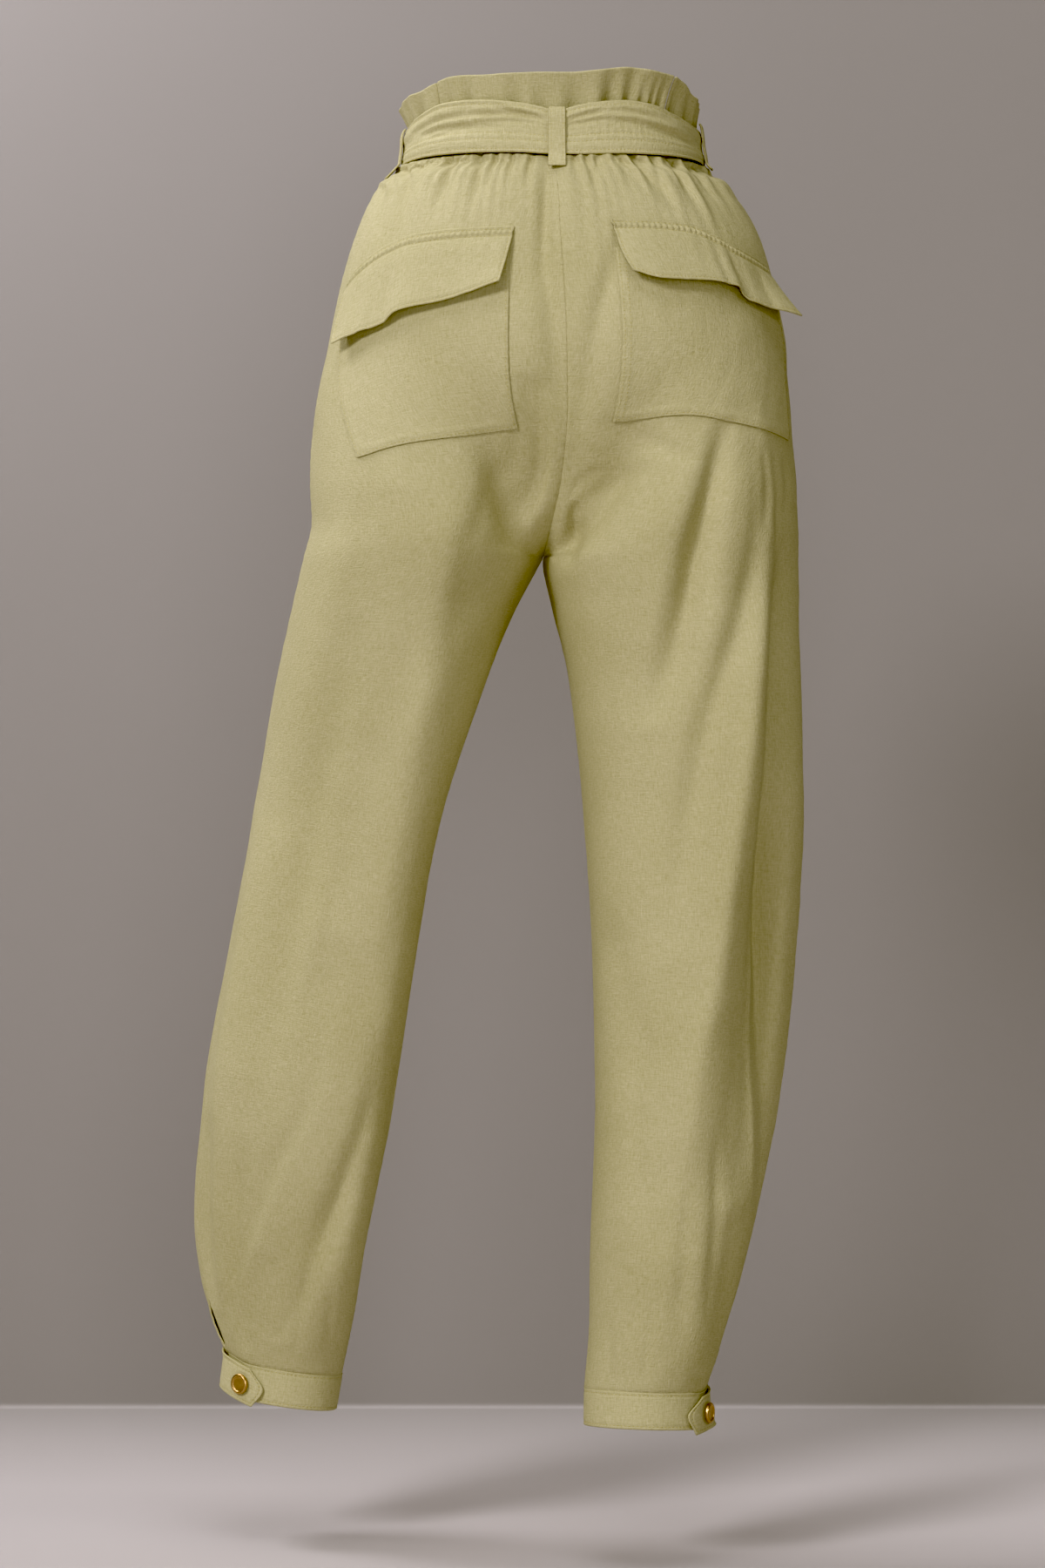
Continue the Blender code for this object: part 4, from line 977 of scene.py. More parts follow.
def sew(name, seams, finish):
    """Rows of stitches as one mesh. Each seam is (points, outward directions) along its line."""
    stitches = []
    for points, outward in seams:
        reach = run_along(points)
        middle = np.arange(STITCH_PITCH / 2, reach[-1], STITCH_PITCH)
        here, up = along_line(middle, reach, points), unit(along_line(middle, reach, outward))
        ahead = unit(along_line(middle + 1, reach, points) - along_line(middle - 1, reach, points))
        aside = unit(np.cross(ahead, up))
        end, flank = ahead * STITCH_LENGTH / 2, aside * STITCH_WIDTH / 2
        high, sunk = up * STITCH_WIDTH * 0.5, up * STITCH_SUNK
        corners = (
            here - end - sunk,
            here + end - sunk,
            here - flank,
            here + flank,
            here + high,
            here - high,
        )
        stitches.append(np.stack(corners, 1))
    stitches = np.concatenate(stitches)
    first = stitches.shape[1] * np.arange(len(stitches))
    faces = (STITCH_FACES[None] + first[:, None, None]).reshape(-1, 3)
    return mesh_piece(name, stitches.reshape(-1, 3), faces, finish)


def thread_material(name, colour):
    """Spun thread, a little yellower than the cloth, with a faint twist."""
    made, tree, shader = new_material(name)
    place = add_node(tree, "ShaderNodeTexCoord").outputs["Object"]
    twist = add_node(tree, "ShaderNodeTexNoise", ("Vector", place), ("Scale", 900.0), ("Detail", 2.0))
    darker, lighter = [[share * c for c in colour] for share in (0.78, 1.15)]
    shades = mixed_colour(tree, twist.outputs["Fac"], darker, lighter)
    tree.links.new(shades, shader.inputs["Base Color"])
    shader.inputs["Roughness"].default_value = 0.7
    shader.inputs["Specular IOR Level"].default_value = 0.25
    return made


THREAD = thread_material("thread", (0.47, 0.41, 0.20))

# The slit above each cuff: its size, and how far and how wide its edges curl out.
VENT_HEIGHT, VENT_WIDTH = 46, 11
VENT_CURL, VENT_CURL_WIDTH = {"front": 1.4, "back": 1.0}, 5
# In mm along the hem from the vent: before it the hem climbs by LAP_RISE, from RISE_START to RISE_END,
# and the band that laps on falls on a slope. Past it the hem is START_RISE high and levels out.
RISE_START, RISE_END = -60, -20
LAP_RISE, LAP_SLOPE = 8, 0.21
START_RISE, START_RISE_END = 5, 30
HEM_ZONE = 60  # the hem's climb towards the vent dies out this far above it
SEAM_DIP, SEAM_DIP_WIDTH = 0.5, 0.9
SEAM_RIDGE, SEAM_RIDGE_AT, SEAM_RIDGE_WIDTH = 0.3, 2.2, 1.8  # the seam allowance shows through
CENTRE_SEAM = 0.6  # the centre seam's dip and ridge, as a share of the others'
CENTRE_TOP_Z, CENTRE_REACH = -40, 60
PUCKER, PUCKER_PITCH, PUCKER_REACH = 0.22, 8.5, 7
PUCKER_WANDER, PUCKER_WANDER_LENGTH, PUCKER_TOP = 2.3, 31.0, 10
NEAR_EDGE = (0, 0.0016, 0.0036, 0.0064, 0.0105)  # the first columns of a panel, as shares across it


def cuff_stretch(side):
    """Millimetres round the cuff for each unit of a, at the side seam."""
    span = form(side, 0.6, HEM_Z[side]) - form(side, 0.5, HEM_Z[side])
    return float(np.linalg.norm(span)) / 0.1


def band_drop(along):
    """How far the cuff's top edge lies below the level hem, along in mm from the vent."""
    climb = LAP_RISE * eased((along - RISE_START) / (RISE_END - RISE_START))
    return LAP_SLOPE * np.maximum(0, along - RISE_END) - climb


def hem_rise(along):
    """How much the hem climbs on each side of the vent."""
    after = START_RISE * eased(1 - along / START_RISE_END)
    return np.where(along > 0, after, -band_drop(along))


GATHERS_Z, POCKETS_Z = -45, -130  # a panel's rows are closest above the first, close above the second


def panel_heights(side, steps):
    """Heights of a panel's rows: close under the waistband, wide down the leg, close at the hem."""
    marks = (WAIST_SEAM_Z, GATHERS_Z, POCKETS_Z, CROTCH_Z, HEM_Z[side] + HEM_ZONE, HEM_Z[side])
    parts = []
    for high, low, step in zip(marks, marks[1:], steps):
        parts.append(np.linspace(high, low, max(2, round((high - low) / step)) + 1)[:-1])
    return np.concatenate(parts + [[HEM_Z[side]]])


def make_panel(name, side, part, columns, steps):
    """The cloth of one leg panel."""
    heights = panel_heights(side, steps)[:, None]
    inner_places = np.linspace(NEAR_EDGE[-1], 1 - NEAR_EDGE[-1], columns)
    near = np.array(NEAR_EDGE[:-1])
    share = np.concatenate([near, inner_places, 1 - near[::-1]])[None, :]
    stretch = stretch_at(side, 0.5, heights, 0.02)
    up = (heights - HEM_Z[side]) / VENT_HEIGHT
    opening = np.where((up > 0) & (up < 1), np.sin(math.pi * np.clip(up, 0, 1)), 0)
    trim = (SEAM_GAP / 2 + VENT_WIDTH / 2 * opening) / stretch
    inseam = np.where(heights <= CROTCH_Z, SEAM_GAP / 2 / stretch, 0)
    low, high = (inseam, 0.5 - trim) if part == "front" else (0.5 + trim, 1 - inseam)
    a = low + share * (high - low)
    near_hem = np.clip(1 - (heights - HEM_Z[side]) / HEM_ZONE, 0, 1)
    z = heights + hem_rise((a - 0.5) * cuff_stretch(side)) * near_hem
    points = leg_surface(side, a, z)
    outward = facing(points) * side
    to_low = (a - low) * stretch_at(side, a, z)
    to_high = (high - a) * stretch_at(side, a, z)
    nearest = np.minimum(to_low, to_high)
    dip = -SEAM_DIP * np.exp(-((nearest / SEAM_DIP_WIDTH) ** 2))
    ridge_side = to_high if (part == "back") == (side == RIGHT) else to_low
    dip = dip + SEAM_RIDGE * np.exp(-(((ridge_side - SEAM_RIDGE_AT) / SEAM_RIDGE_WIDTH) ** 2))
    centre = (z > CROTCH_Z) & (to_high < to_low if part == "back" else to_low < to_high)
    dip = dip * np.where(centre, CENTRE_SEAM * eased((CENTRE_TOP_Z - z) / CENTRE_REACH), 1)
    wander = PUCKER_WANDER * np.sin(z / PUCKER_WANDER_LENGTH)
    drawn = np.sin(2 * math.pi * z / PUCKER_PITCH + wander) * np.exp(-nearest / PUCKER_REACH)
    dip = (dip + PUCKER * drawn) * eased((WAIST_SEAM_Z - z) / PUCKER_TOP)
    to_vent = to_high if part == "front" else to_low
    dip = dip + VENT_CURL[part] * opening * np.exp(-((to_vent / VENT_CURL_WIDTH) ** 2))
    outer = points + outward * dip[..., None]
    inner = outer - outward * LAYER
    seam_x = smooth(HIPS, "seam_x", z) + side * SEAM_GAP / 2
    for layer in (outer, inner):
        held = side * np.maximum(side * layer[..., 0], side * seam_x)
        layer[..., 0] = np.where(z >= CROTCH_Z, held, layer[..., 0])
    return cloth_piece(name, outer, LAYER, LINEN, flip=side == RIGHT, inner=inner)


PANEL_CUTS = table(
    "part columns steps flat area",
    ("back", 168, (0.95, 1.9, 2.9, 5.8, 3.4), (0.37, 1.03), 0.290),
    ("front", 104, (2.0, 3.0, 4.6, 9.0, 4.5), (0.34, 1.02), 0.270),
)
for cut in PANEL_CUTS:
    for name, side in SIDES.items():
        node = f"{cut['part']}_panel_{name}"
        panel = make_panel(f"linen_{node}", side, cut["part"], cut["columns"], cut["steps"])
        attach(panel, "root")
        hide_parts(node)

# Back pockets. Each is a patch of one layer with its edges turned under, laid on the back panel and
# edge-stitched down both sides and along the slanting bottom. Its top is under the flap.
BACK_POCKETS = {
    LEFT: table(
        "share top_a top_z low_a low_z",
        (0.0, 0.936, -112, 0.936, -248),
        (0.35, 0.830, -118, 0.836, -254),
        (0.7, 0.720, -132, 0.745, -260.5),
        (1.0, 0.605, -150, 0.668, -270),
    ),
    RIGHT: table(
        "share top_a top_z low_a low_z",
        (0.0, 0.930, -108, 0.936, -243),
        (0.45, 0.790, -112, 0.800, -238),
        (0.7, 0.700, -122, 0.700, -244),
        (1.0, 0.575, -138, 0.574, -253),
    ),
}
POCKET_THICK, POCKET_LIFT = 0.8, 1.0
POCKET_PUCKER, POCKET_PUCKER_PITCH, POCKET_PUCKER_REACH = 0.16, 7.3, 5
TURNING, TURNING_HEIGHT = 8, 0.45  # the turned edge is this wide, and stands this much higher
EDGE_STITCH, STITCH_DIP, STITCH_DIP_WIDTH = 2.0, 0.6, 0.8
SECOND_STITCH = 4.5  # a second row on the right pocket's inner side, this far from the first


def spaced(u):
    """Shares across a patch, drawn together at its edges."""
    return np.clip(u + 0.012 * np.sin(2 * math.pi * u), 0, 1)


def laid_grid(side, shape, across, down):
    """A patch's places on the leg, and distances from its edges in mm: top, bottom, inner, outer."""
    u, v = spaced(np.linspace(0, 1, across))[None, :], np.linspace(0, 1, down)[:, None]
    top_a, low_a, top_z, low_z = [
        smooth(shape, column, u, "share") for column in ("top_a", "low_a", "top_z", "low_z")
    ]
    a = top_a + (low_a - top_a) * v
    z = top_z + (low_z - top_z) * v
    points = leg_surface(side, a, z)
    fall = np.linalg.norm(np.diff(points, axis=0), axis=-1)
    from_top = np.concatenate([np.zeros((1, across)), np.cumsum(fall, 0)])
    run = np.linalg.norm(np.diff(points, axis=1), axis=-1)
    from_inner = np.concatenate([np.zeros((down, 1)), np.cumsum(run, 1)], 1)
    gaps = (from_top, from_top[-1:] - from_top, from_inner, from_inner[:, -1:] - from_inner)
    return points, gaps


def stitch_dip(gap):
    """How the cloth is drawn in along a line of edge stitching."""
    return STITCH_DIP * np.exp(-(((gap - EDGE_STITCH) / STITCH_DIP_WIDTH) ** 2))


def edge_line(grid, outward, gaps, inset, sides):
    """Lines on a patch at a distance from its edges, as (points, outward) pairs."""
    rows, columns = grid.shape[:2]
    lines = []
    for edge in sides:
        steps = np.arange(rows if edge in ("inner", "outer") else columns)
        if edge in ("inner", "outer"):
            gap = gaps[2] if edge == "inner" else gaps[3][:, ::-1]
            at = np.array([np.interp(inset, gap[r], np.arange(columns)) for r in steps])
            r, c = steps.astype(float), at if edge == "inner" else columns - 1 - at
        else:
            gap = gaps[0] if edge == "top" else gaps[1][::-1]
            at = np.array([np.interp(inset, gap[:, c], np.arange(rows)) for c in steps])
            r, c = at if edge == "top" else rows - 1 - at, steps.astype(float)
        line, direction = line_on(grid, outward, r, c)
        lines.append((line[1:-1], direction[1:-1]))
    return lines


for name, side in SIDES.items():
    points, gaps = laid_grid(side, BACK_POCKETS[side], across=74, down=88)
    outward = facing(points) * -side
    nearest = np.minimum(np.minimum(gaps[1], gaps[2]), gaps[3])
    lift = POCKET_LIFT + TURNING_HEIGHT * (1 - eased((nearest - TURNING + 2) / 3))
    lift = lift - stitch_dip(nearest)
    length = gaps[0] + gaps[2]
    pucker = POCKET_PUCKER * np.sin(2 * math.pi * length / POCKET_PUCKER_PITCH + np.sin(length / 23))
    lift = lift + pucker * np.exp(-nearest / POCKET_PUCKER_REACH)
    outer = points + outward * lift[..., None]
    pocket = cloth_piece(f"linen_back_pocket_{name}", outer, POCKET_THICK, LINEN, flip=side == LEFT)
    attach(pocket, "root")
    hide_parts(f"back_pocket_{name}")
    seams = edge_line(outer, outward, gaps, EDGE_STITCH, ("inner", "outer", "bottom"))
    if side == RIGHT:
        seams += edge_line(outer, outward, gaps, EDGE_STITCH + SECOND_STITCH, ("inner",))
    stitches = sew(f"stitching_back_pocket_{name}", seams, THREAD)
    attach(stitches, "root")

# Pocket flaps. Each is cut double, turned and edge-stitched, then sewn over the pocket by two rows
# of topstitching. Below them it stands off the cloth, most at its outer corner.
BACK_FLAPS = {
    LEFT: table(
        "share top_a top_z low_a low_z low_lift",
        (0.0, 0.943, -92, 0.926, -137, 9),
        (0.25, 0.860, -93, 0.856, -149, 5),
        (0.5, 0.770, -96, 0.778, -157, 7),
        (0.65, 0.720, -102, 0.738, -167, 4),
        (0.8, 0.668, -111, 0.695, -172, 7),
        (1.0, 0.603, -126, 0.640, -180, 10),
    ),
    RIGHT: table(
        "share top_a top_z low_a low_z low_lift",
        (0.0, 0.933, -86, 0.913, -128, 6),
        (0.2, 0.875, -86, 0.868, -134, 8),
        (0.45, 0.800, -88, 0.790, -134, 7),
        (0.62, 0.745, -95, 0.735, -137, 8),
        (0.75, 0.700, -102, 0.700, -147, 4),
        (1.0, 0.590, -114, 0.590, -157, 18),
    ),
}
FLAP_THICK, FLAP_LIFT, FLAP_STAND = 1.5, 1.9, 2.0
TOPSTITCH = (1.6, 7.4)  # the two rows lie this far below the flap's top edge
TOPSTITCH_PITCH = 4.6  # the cloth ripples between them
TOPSTITCH_PUFF, TOPSTITCH_RIPPLE, TOPSTITCH_SPREAD = 0.6, 0.65, 2.2
FLAP_BOWS = {  # soft waves down the flap, share and width in shares of its top edge
    LEFT: table(
        "share width depth",
        (0.62, 0.035, -1.3),
        (0.72, 0.03, -0.9),
        (0.83, 0.04, -1.6),
        (0.3, 0.09, -0.7),
    ),
    RIGHT: table(
        "share width depth",
        (0.70, 0.04, -1.8),
        (0.57, 0.035, -1.0),
        (0.80, 0.03, 1.0),
        (0.88, 0.03, -1.2),
        (0.3, 0.1, -0.6),
    ),
}
FLAP_ACROSS, FLAP_DOWN = 190, 56
for name, side in SIDES.items():
    points, gaps = laid_grid(side, BACK_FLAPS[side], FLAP_ACROSS, FLAP_DOWN)
    outward = facing(points) * -side
    u, v = np.linspace(0, 1, FLAP_ACROSS)[None, :], np.linspace(0, 1, FLAP_DOWN)[:, None]
    lifted = smooth(BACK_FLAPS[side], "low_lift", spaced(u), "share")
    stands = FLAP_STAND * eased(3 * v) + lifted * v**1.6
    for bow in FLAP_BOWS[side]:
        wave = bow["depth"] * np.exp(-(((u - bow["share"]) / bow["width"]) ** 2))
        stands = stands + wave * eased(v * 1.6)
    nearest = np.minimum(np.minimum(gaps[1], gaps[2]), gaps[3])
    lift = FLAP_LIFT + stands - stitch_dip(nearest)
    between = np.exp(-(((gaps[0] - sum(TOPSTITCH) / 2) / TOPSTITCH_SPREAD) ** 2))
    ripple = np.sin(2 * math.pi * gaps[2] / TOPSTITCH_PITCH + 1.4 * np.sin(gaps[2] / 17))
    lift = lift + between * (TOPSTITCH_PUFF + TOPSTITCH_RIPPLE * ripple)
    for row in TOPSTITCH:
        lift = lift - np.exp(-((gaps[0] - row) ** 2))
    outer = points + outward * lift[..., None]
    flap = cloth_piece(f"linen_back_flap_{name}", outer, FLAP_THICK, LINEN, flip=side == LEFT)
    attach(flap, "root")
    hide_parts(f"back_flap_{name}")
    seams = edge_line(outer, outward, gaps, EDGE_STITCH, ("inner", "outer", "bottom"))
    for row in TOPSTITCH:
        seams += edge_line(outer, outward, gaps, row, ("top",))
    stitches = sew(f"stitching_back_flap_{name}", seams, THREAD)
    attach(stitches, "root")

# Front pocket mouths. The slanted edge of each side pocket is turned and stitched twice, and runs
# from a little under the waistband down to near the side seam.
MOUTH_EDGE_A = 0.026
MOUTH_TOP_A, MOUTH_LOW_A = POCKET_MOUTH_A + 0.02, 0.455
POCKET_MOUTH = table(
    "share top_a top_z low_a low_z",
    (0, MOUTH_TOP_A, -52, MOUTH_LOW_A, -196),
    (1, MOUTH_TOP_A + MOUTH_EDGE_A, -52, MOUTH_LOW_A + MOUTH_EDGE_A, -196),
)
MOUTH_THICK, MOUTH_LIFT = 1.0, 1.2
for name, side in SIDES.items():
    points, gaps = laid_grid(side, POCKET_MOUTH, across=14, down=90)
    outward = facing(points) * side
    lift = MOUTH_LIFT - stitch_dip(np.minimum(gaps[2], gaps[3]))
    outer = points + outward * lift[..., None]
    edge_name = f"linen_front_pocket_edge_{name}"
    mouth = cloth_piece(edge_name, outer, MOUTH_THICK, LINEN_PAINTED_LIGHTER, flip=side == RIGHT)
    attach(mouth, "root")
    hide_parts(f"front_pocket_edge_{name}")
    seams = edge_line(outer, outward, gaps, EDGE_STITCH, ("inner", "outer"))
    stitches = sew(f"stitching_front_pocket_{name}", seams, THREAD)
    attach(stitches, "root")

# Waistband. The casing for the elastic and the frill above it are one band folded double, in a back
# and a front piece that meet at a seam behind each hip. The belt pinches the frill into soft pleats.
BAND_HALF_WIDTH, BAND_HALF_DEPTH = 115.3, 91.5
BAND_SEAM_DEG = 48
BAND_THICK = 1.5
WAIST_LINES = table(
    "degrees belt_top belt_bottom belt_flare frill_top frill_flare",
    (0, -4, -37, 5, 17, 4),
    (60, -6, -36, 6, 16, 6),
    (92, -6, -30, 4, 17, 8),
    (114, 1.3, -29.5, 4, 21, 7),
    (127, 6.7, -29, 4, 25.5, 6),
    (136, 10, -29, 4, 28.5, 6),
    (148, 11, -29, 4, 31, 5),
    (160, 10, -29.5, 4, 31, 5),
    (170, 7.5, -30, 3.5, 30.5, 5),
    (176, 4.6, -31, 3.5, 31, 4),
    (181, 1.8, -31.5, 3.5, 31.5, 4),
    (187, 5.4, -31.5, 3.5, 32, 4),
    (194, 8.4, -31, 3.5, 33, 4),
    (206, 10.6, -30, 4, 35, 4),
    (219, 8.5, -29.5, 5, 33.5, 4),
    (231, 3.2, -29, 5, 30.5, 4),
    (249, -2.5, -29, 5, 20.5, 3),
    (270, -5, -31, 5, 19, 3),
    (300, -5, -36, 6, 17, 4),
    (360, -4, -37, 5, 17, 4),
)
FRILL_PINCHES = table(
    "degrees width depth high",
    (112, 8, -3.5, 0.8),
    (124, 5, -1.6, 0.5),
    (139, 4, -2.7, 0.8),
    (147, 6, -3.5, 0.8),
    (158, 5, -1.4, 0.4),
    (166, 6, -5.7, 1.0),
    (172, 4, 1.2, 0.9),
    (177, 6, -4.1, 1.0),
    (187, 8, -8.1, 1.3),
    (194, 5, 1.0, 0.8),
    (200, 6, -8.4, 1.3),
    (208, 5, -5.9, 1.1),
    (214, 3.5, -4.1, 0.8),
    (218.5, 2, -4.3, 0.7),
    (223, 2.4, -4.6, 0.8),
    (232, 9, -6.2, 1.4),
    (246, 6, -2.7, 0.8),
)
FRONT_PINCHED = 128  # the front's pleats lie within this many degrees of its middle
BAND_CUTS = table(
    "name first last columns flat",
    ("back", 180 - BAND_SEAM_DEG, 180 + BAND_SEAM_DEG, 250, (0.205, 0.066)),
    ("front", BAND_SEAM_DEG - 180, 180 - BAND_SEAM_DEG, 340, (0.50, 0.055)),
)


def waist_point(degrees, grow, z):
    """A point round the waist. 0 degrees is the front, 90 the wearer's left, 180 the back."""
    angle = np.radians(degrees)
    x = HIPS[0]["seam_x"] + (BAND_HALF_WIDTH + grow) * rounded(np.sin(angle), HIP_POWER)
    y = -(BAND_HALF_DEPTH + grow) * rounded(np.cos(angle), HIP_POWER)
    return stacked(x, y, z)


def waist_line(column, degrees):
    """A column of the waist's lines at some degrees round it."""
    return smooth(WAIST_LINES, column, np.mod(degrees, 360), "degrees")


def front_pinches(seed=21):
    """Pleats for the unseen front of the frill, of the same kinds as those at the back."""
    draw = random.Random(seed)
    rows, degrees = [], -FRONT_PINCHED
    while degrees < FRONT_PINCHED:
        width, depth = draw.uniform(4, 9), -draw.uniform(1.4, 3.6)
        rows.append(dict(degrees=degrees % 360, width=width, depth=depth, high=1))
        degrees += draw.uniform(8, 16)
    return rows


MM_PER_DEGREE = 1.85
LEAN_DEG, LEAN_REACH, LEAN_OUT = 212, 30, 9  # the frill falls open behind the wearer's right hip
CASING_ROWS, FRILL_ROWS = 8, 34
PINCH_FOOT_Z, PINCH_RISE = -12, 14  # the pleats begin behind the belt
PINCH_FOOT, PINCH_OPENING, PINCH_FADE = 0.75, 0.55, 0.75  # width at the foot, more above, less deep above
BAND_SEAM_DIP, BAND_SEAM_DIP_WIDTH = 0.8, 1.2
BAND_SEAM_RIDGE, BAND_SEAM_RIDGE_AT, BAND_SEAM_RIDGE_WIDTH = 0.6, 2.6, 1.6
BAND_RUMPLE = 0.35
for cut in BAND_CUTS:
    seam = math.degrees(SEAM_GAP / BAND_HALF_DEPTH) * 0.7
    degrees = np.linspace(cut["first"] + seam, cut["last"] - seam, cut["columns"])[None, :]
    turn = np.radians(degrees)
    # share is 0 at the band's seam, 1 at the foot of the frill and 2 at its top edge
    share = np.concatenate([np.linspace(0, 1, CASING_ROWS)[:-1], np.linspace(1, 2, FRILL_ROWS)])[:, None]
    bottom = WAIST_SEAM_Z + SEAM_GAP
    top = waist_line("frill_top", degrees) + 0.5 * np.sin(turn * 11)
    z = np.where(share < 1, bottom - bottom * share, top * (share - 1))
    up = np.clip(share - 1, 0, 1)
    grow = waist_line("frill_flare", degrees) * up + 0.8 * np.sin(turn * 13 + 1) * up
    grow = grow + 0.5 * np.sin(turn * 29)
    leaning = np.exp(-(((np.mod(degrees, 360) - LEAN_DEG) / LEAN_REACH) ** 2))
    grow = grow + LEAN_OUT * leaning * up * up
    for pinch in FRILL_PINCHES if cut["name"] == "back" else front_pinches():
        away = (np.mod(degrees - pinch["degrees"] + 180, 360) - 180) * MM_PER_DEGREE
        width = pinch["width"] * (PINCH_FOOT + PINCH_OPENING * up)
        fade = np.clip(1 - PINCH_FADE * up / pinch["high"], 0, 1)
        rises = eased((z - PINCH_FOOT_Z) / PINCH_RISE)
        grow = grow + pinch["depth"] * fade * rises * np.exp(-((away / width) ** 2))
    edge_gap = np.minimum(degrees - degrees[0, 0], degrees[0, -1] - degrees) * MM_PER_DEGREE
    grow = grow - BAND_SEAM_DIP * np.exp(-((edge_gap / BAND_SEAM_DIP_WIDTH) ** 2))
    from_ridge = (edge_gap - BAND_SEAM_RIDGE_AT) / BAND_SEAM_RIDGE_WIDTH
    ridge = BAND_SEAM_RIDGE * np.exp(-(from_ridge**2))
    grow = grow + ridge * (cut["name"] == "back")
    grow = grow + BAND_RUMPLE * rumple(degrees * MM_PER_DEGREE, z, 31)
    outer = waist_point(degrees, grow, z)[::-1]
    band = cloth_piece(f"linen_waistband_{cut['name']}", outer, BAND_THICK, LINEN)
    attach(band, "root")
    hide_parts(f"waistband_{cut['name']}")

# Belt. A long tie of doubled linen, folded lengthwise and stitched in rows, goes once round the
# waist over the casing. It is slack behind, so it creases towards the middle loop.
BELT_THICK, BELT_CLEAR = 2.0, 1.7
BELT_HUG = 0.7  # share of its loose flare that the belt's lower edge keeps
BELT_CREASES = table(
    "share lift",
    (0.0, 0.2),
    (0.25, 1.0),
    (0.5, 0.2),
    (0.75, 1.6),
    (1.0, 0.4),
)
BELT_ROWS = (0.06, 0.25, 0.38, 0.94)  # its rows of stitches, as shares of its height
BELT_ROW_DIP = 0.45
BELT_PUCKER, BELT_PUCKER_PITCH = 0.22, 5.2
BELT_PUCKER_AT, BELT_PUCKER_SPREAD = 0.45, 0.16  # shares of its height
BELT_LEAST_CLEAR = 0.4
# Slack creases, each from one place (degrees, share of the height) to another.
SLACK = table(
    "degrees_a share_a degrees_b share_b width depth",
    (112, 0.66, 148, 0.72, 2.4, -1.5),
    (148, 0.72, 178, 0.76, 2.2, -1.6),
    (120, 0.50, 164, 0.50, 2.6, -1.8),
    (160, 0.86, 178, 0.74, 2.0, -1.6),
    (128, 0.36, 141, 0.42, 1.6, -1.0),
    (150, 0.58, 177, 0.64, 1.8, -1.2),
    (182, 0.72, 197, 0.82, 2.0, -1.7),
    (197, 0.82, 226, 0.72, 2.4, -1.3),
    (182, 0.62, 200, 0.66, 1.8, -1.2),
    (198, 0.63, 234, 0.52, 2.4, -1.6),
    (212, 0.52, 250, 0.44, 2.4, -1.4),
    (236, 0.80, 256, 0.62, 2.6, -1.2),
    (262, 0.70, 312, 0.58, 2.6, -1.4),
    (300, 0.45, 350, 0.66, 2.6, -1.5),
    (8, 0.66, 60, 0.5, 2.6, -1.5),
    (30, 0.4, 96, 0.7, 2.6, -1.4),
)


def belt_place(degrees, share):
    """Height and inner grow of the belt, share 0 at its bottom edge and 1 at its top edge."""
    line = {name: waist_line(name, degrees) for name in WAIST_LINES[0] if name != "degrees"}
    z = line["belt_bottom"] + (line["belt_top"] - line["belt_bottom"]) * share
    top_flare = line["frill_flare"] * np.maximum(0, z) / line["frill_top"]
    bottom_flare = BELT_HUG * line["belt_flare"] * (1 - share) ** 2
    lift = smooth(BELT_CREASES, "lift", share, "share")
    lift = lift * (0.8 + 0.3 * np.sin(np.radians(3 * degrees + 200 * share)))
    return z, BELT_CLEAR + top_flare + bottom_flare + lift


def slack_depth(degrees, share, height):
    """Depth of the belt's slack creases, each along a straight line on the cloth."""
    total = 0
    for row in SLACK:
        along_deg = (row["degrees_b"] - row["degrees_a"]) * MM_PER_DEGREE
        along_up = (row["share_b"] - row["share_a"]) * height
        x = (degrees - row["degrees_a"]) * MM_PER_DEGREE
        y = (share - row["share_a"]) * height
        length = np.hypot(along_deg, along_up)
        t = (x * along_deg + y * along_up) / length**2
        off = (y * along_deg - x * along_up) / length
        strength = np.sin(math.pi * np.clip(t, 0, 1)) ** 0.5
        beside = (off - 2 * row["width"]) / row["width"]
        total = total + row["depth"] * strength * np.exp(-((off / row["width"]) ** 2))
        total = total - 0.5 * row["depth"] * strength * np.exp(-(beside**2))
    return total


BELT_AROUND, BELT_DOWN = 420, 40
degrees = (360 * np.arange(BELT_AROUND) / BELT_AROUND)[None, :]
share = np.linspace(1, 0, BELT_DOWN)[:, None]
z, grow = belt_place(degrees, share)
height = waist_line("belt_top", degrees) - waist_line("belt_bottom", degrees)
grow = grow + slack_depth(degrees, share, height)
for row in BELT_ROWS:
    grow = grow - BELT_ROW_DIP * np.exp(-(((share - row) * height) ** 2))
puckers = np.sin(degrees * MM_PER_DEGREE * 2 * math.pi / BELT_PUCKER_PITCH + 2 * np.sin(degrees / 9))
puckered = np.exp(-(((share - BELT_PUCKER_AT) / BELT_PUCKER_SPREAD) ** 2))
grow = grow + BELT_PUCKER * puckers * puckered
grow = np.maximum(grow, BELT_LEAST_CLEAR) + BELT_THICK
outer = waist_point(degrees, grow, z)
belt = cloth_piece("linen_belt", outer, BELT_THICK, LINEN_PAINTED_LIGHTER, ring=True)
belt_outward = facing(outer, True)
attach(belt, "root")
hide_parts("belt")
seams = []
for row in BELT_ROWS:
    line, outward = line_on(outer, belt_outward, (1 - row) * (BELT_DOWN - 1), np.arange(BELT_AROUND))
    seams.append((np.concatenate([line, line[:1]]), np.concatenate([outward, outward[:1]])))
stitches = sew("stitching_belt", seams, THREAD)
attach(stitches, "root")

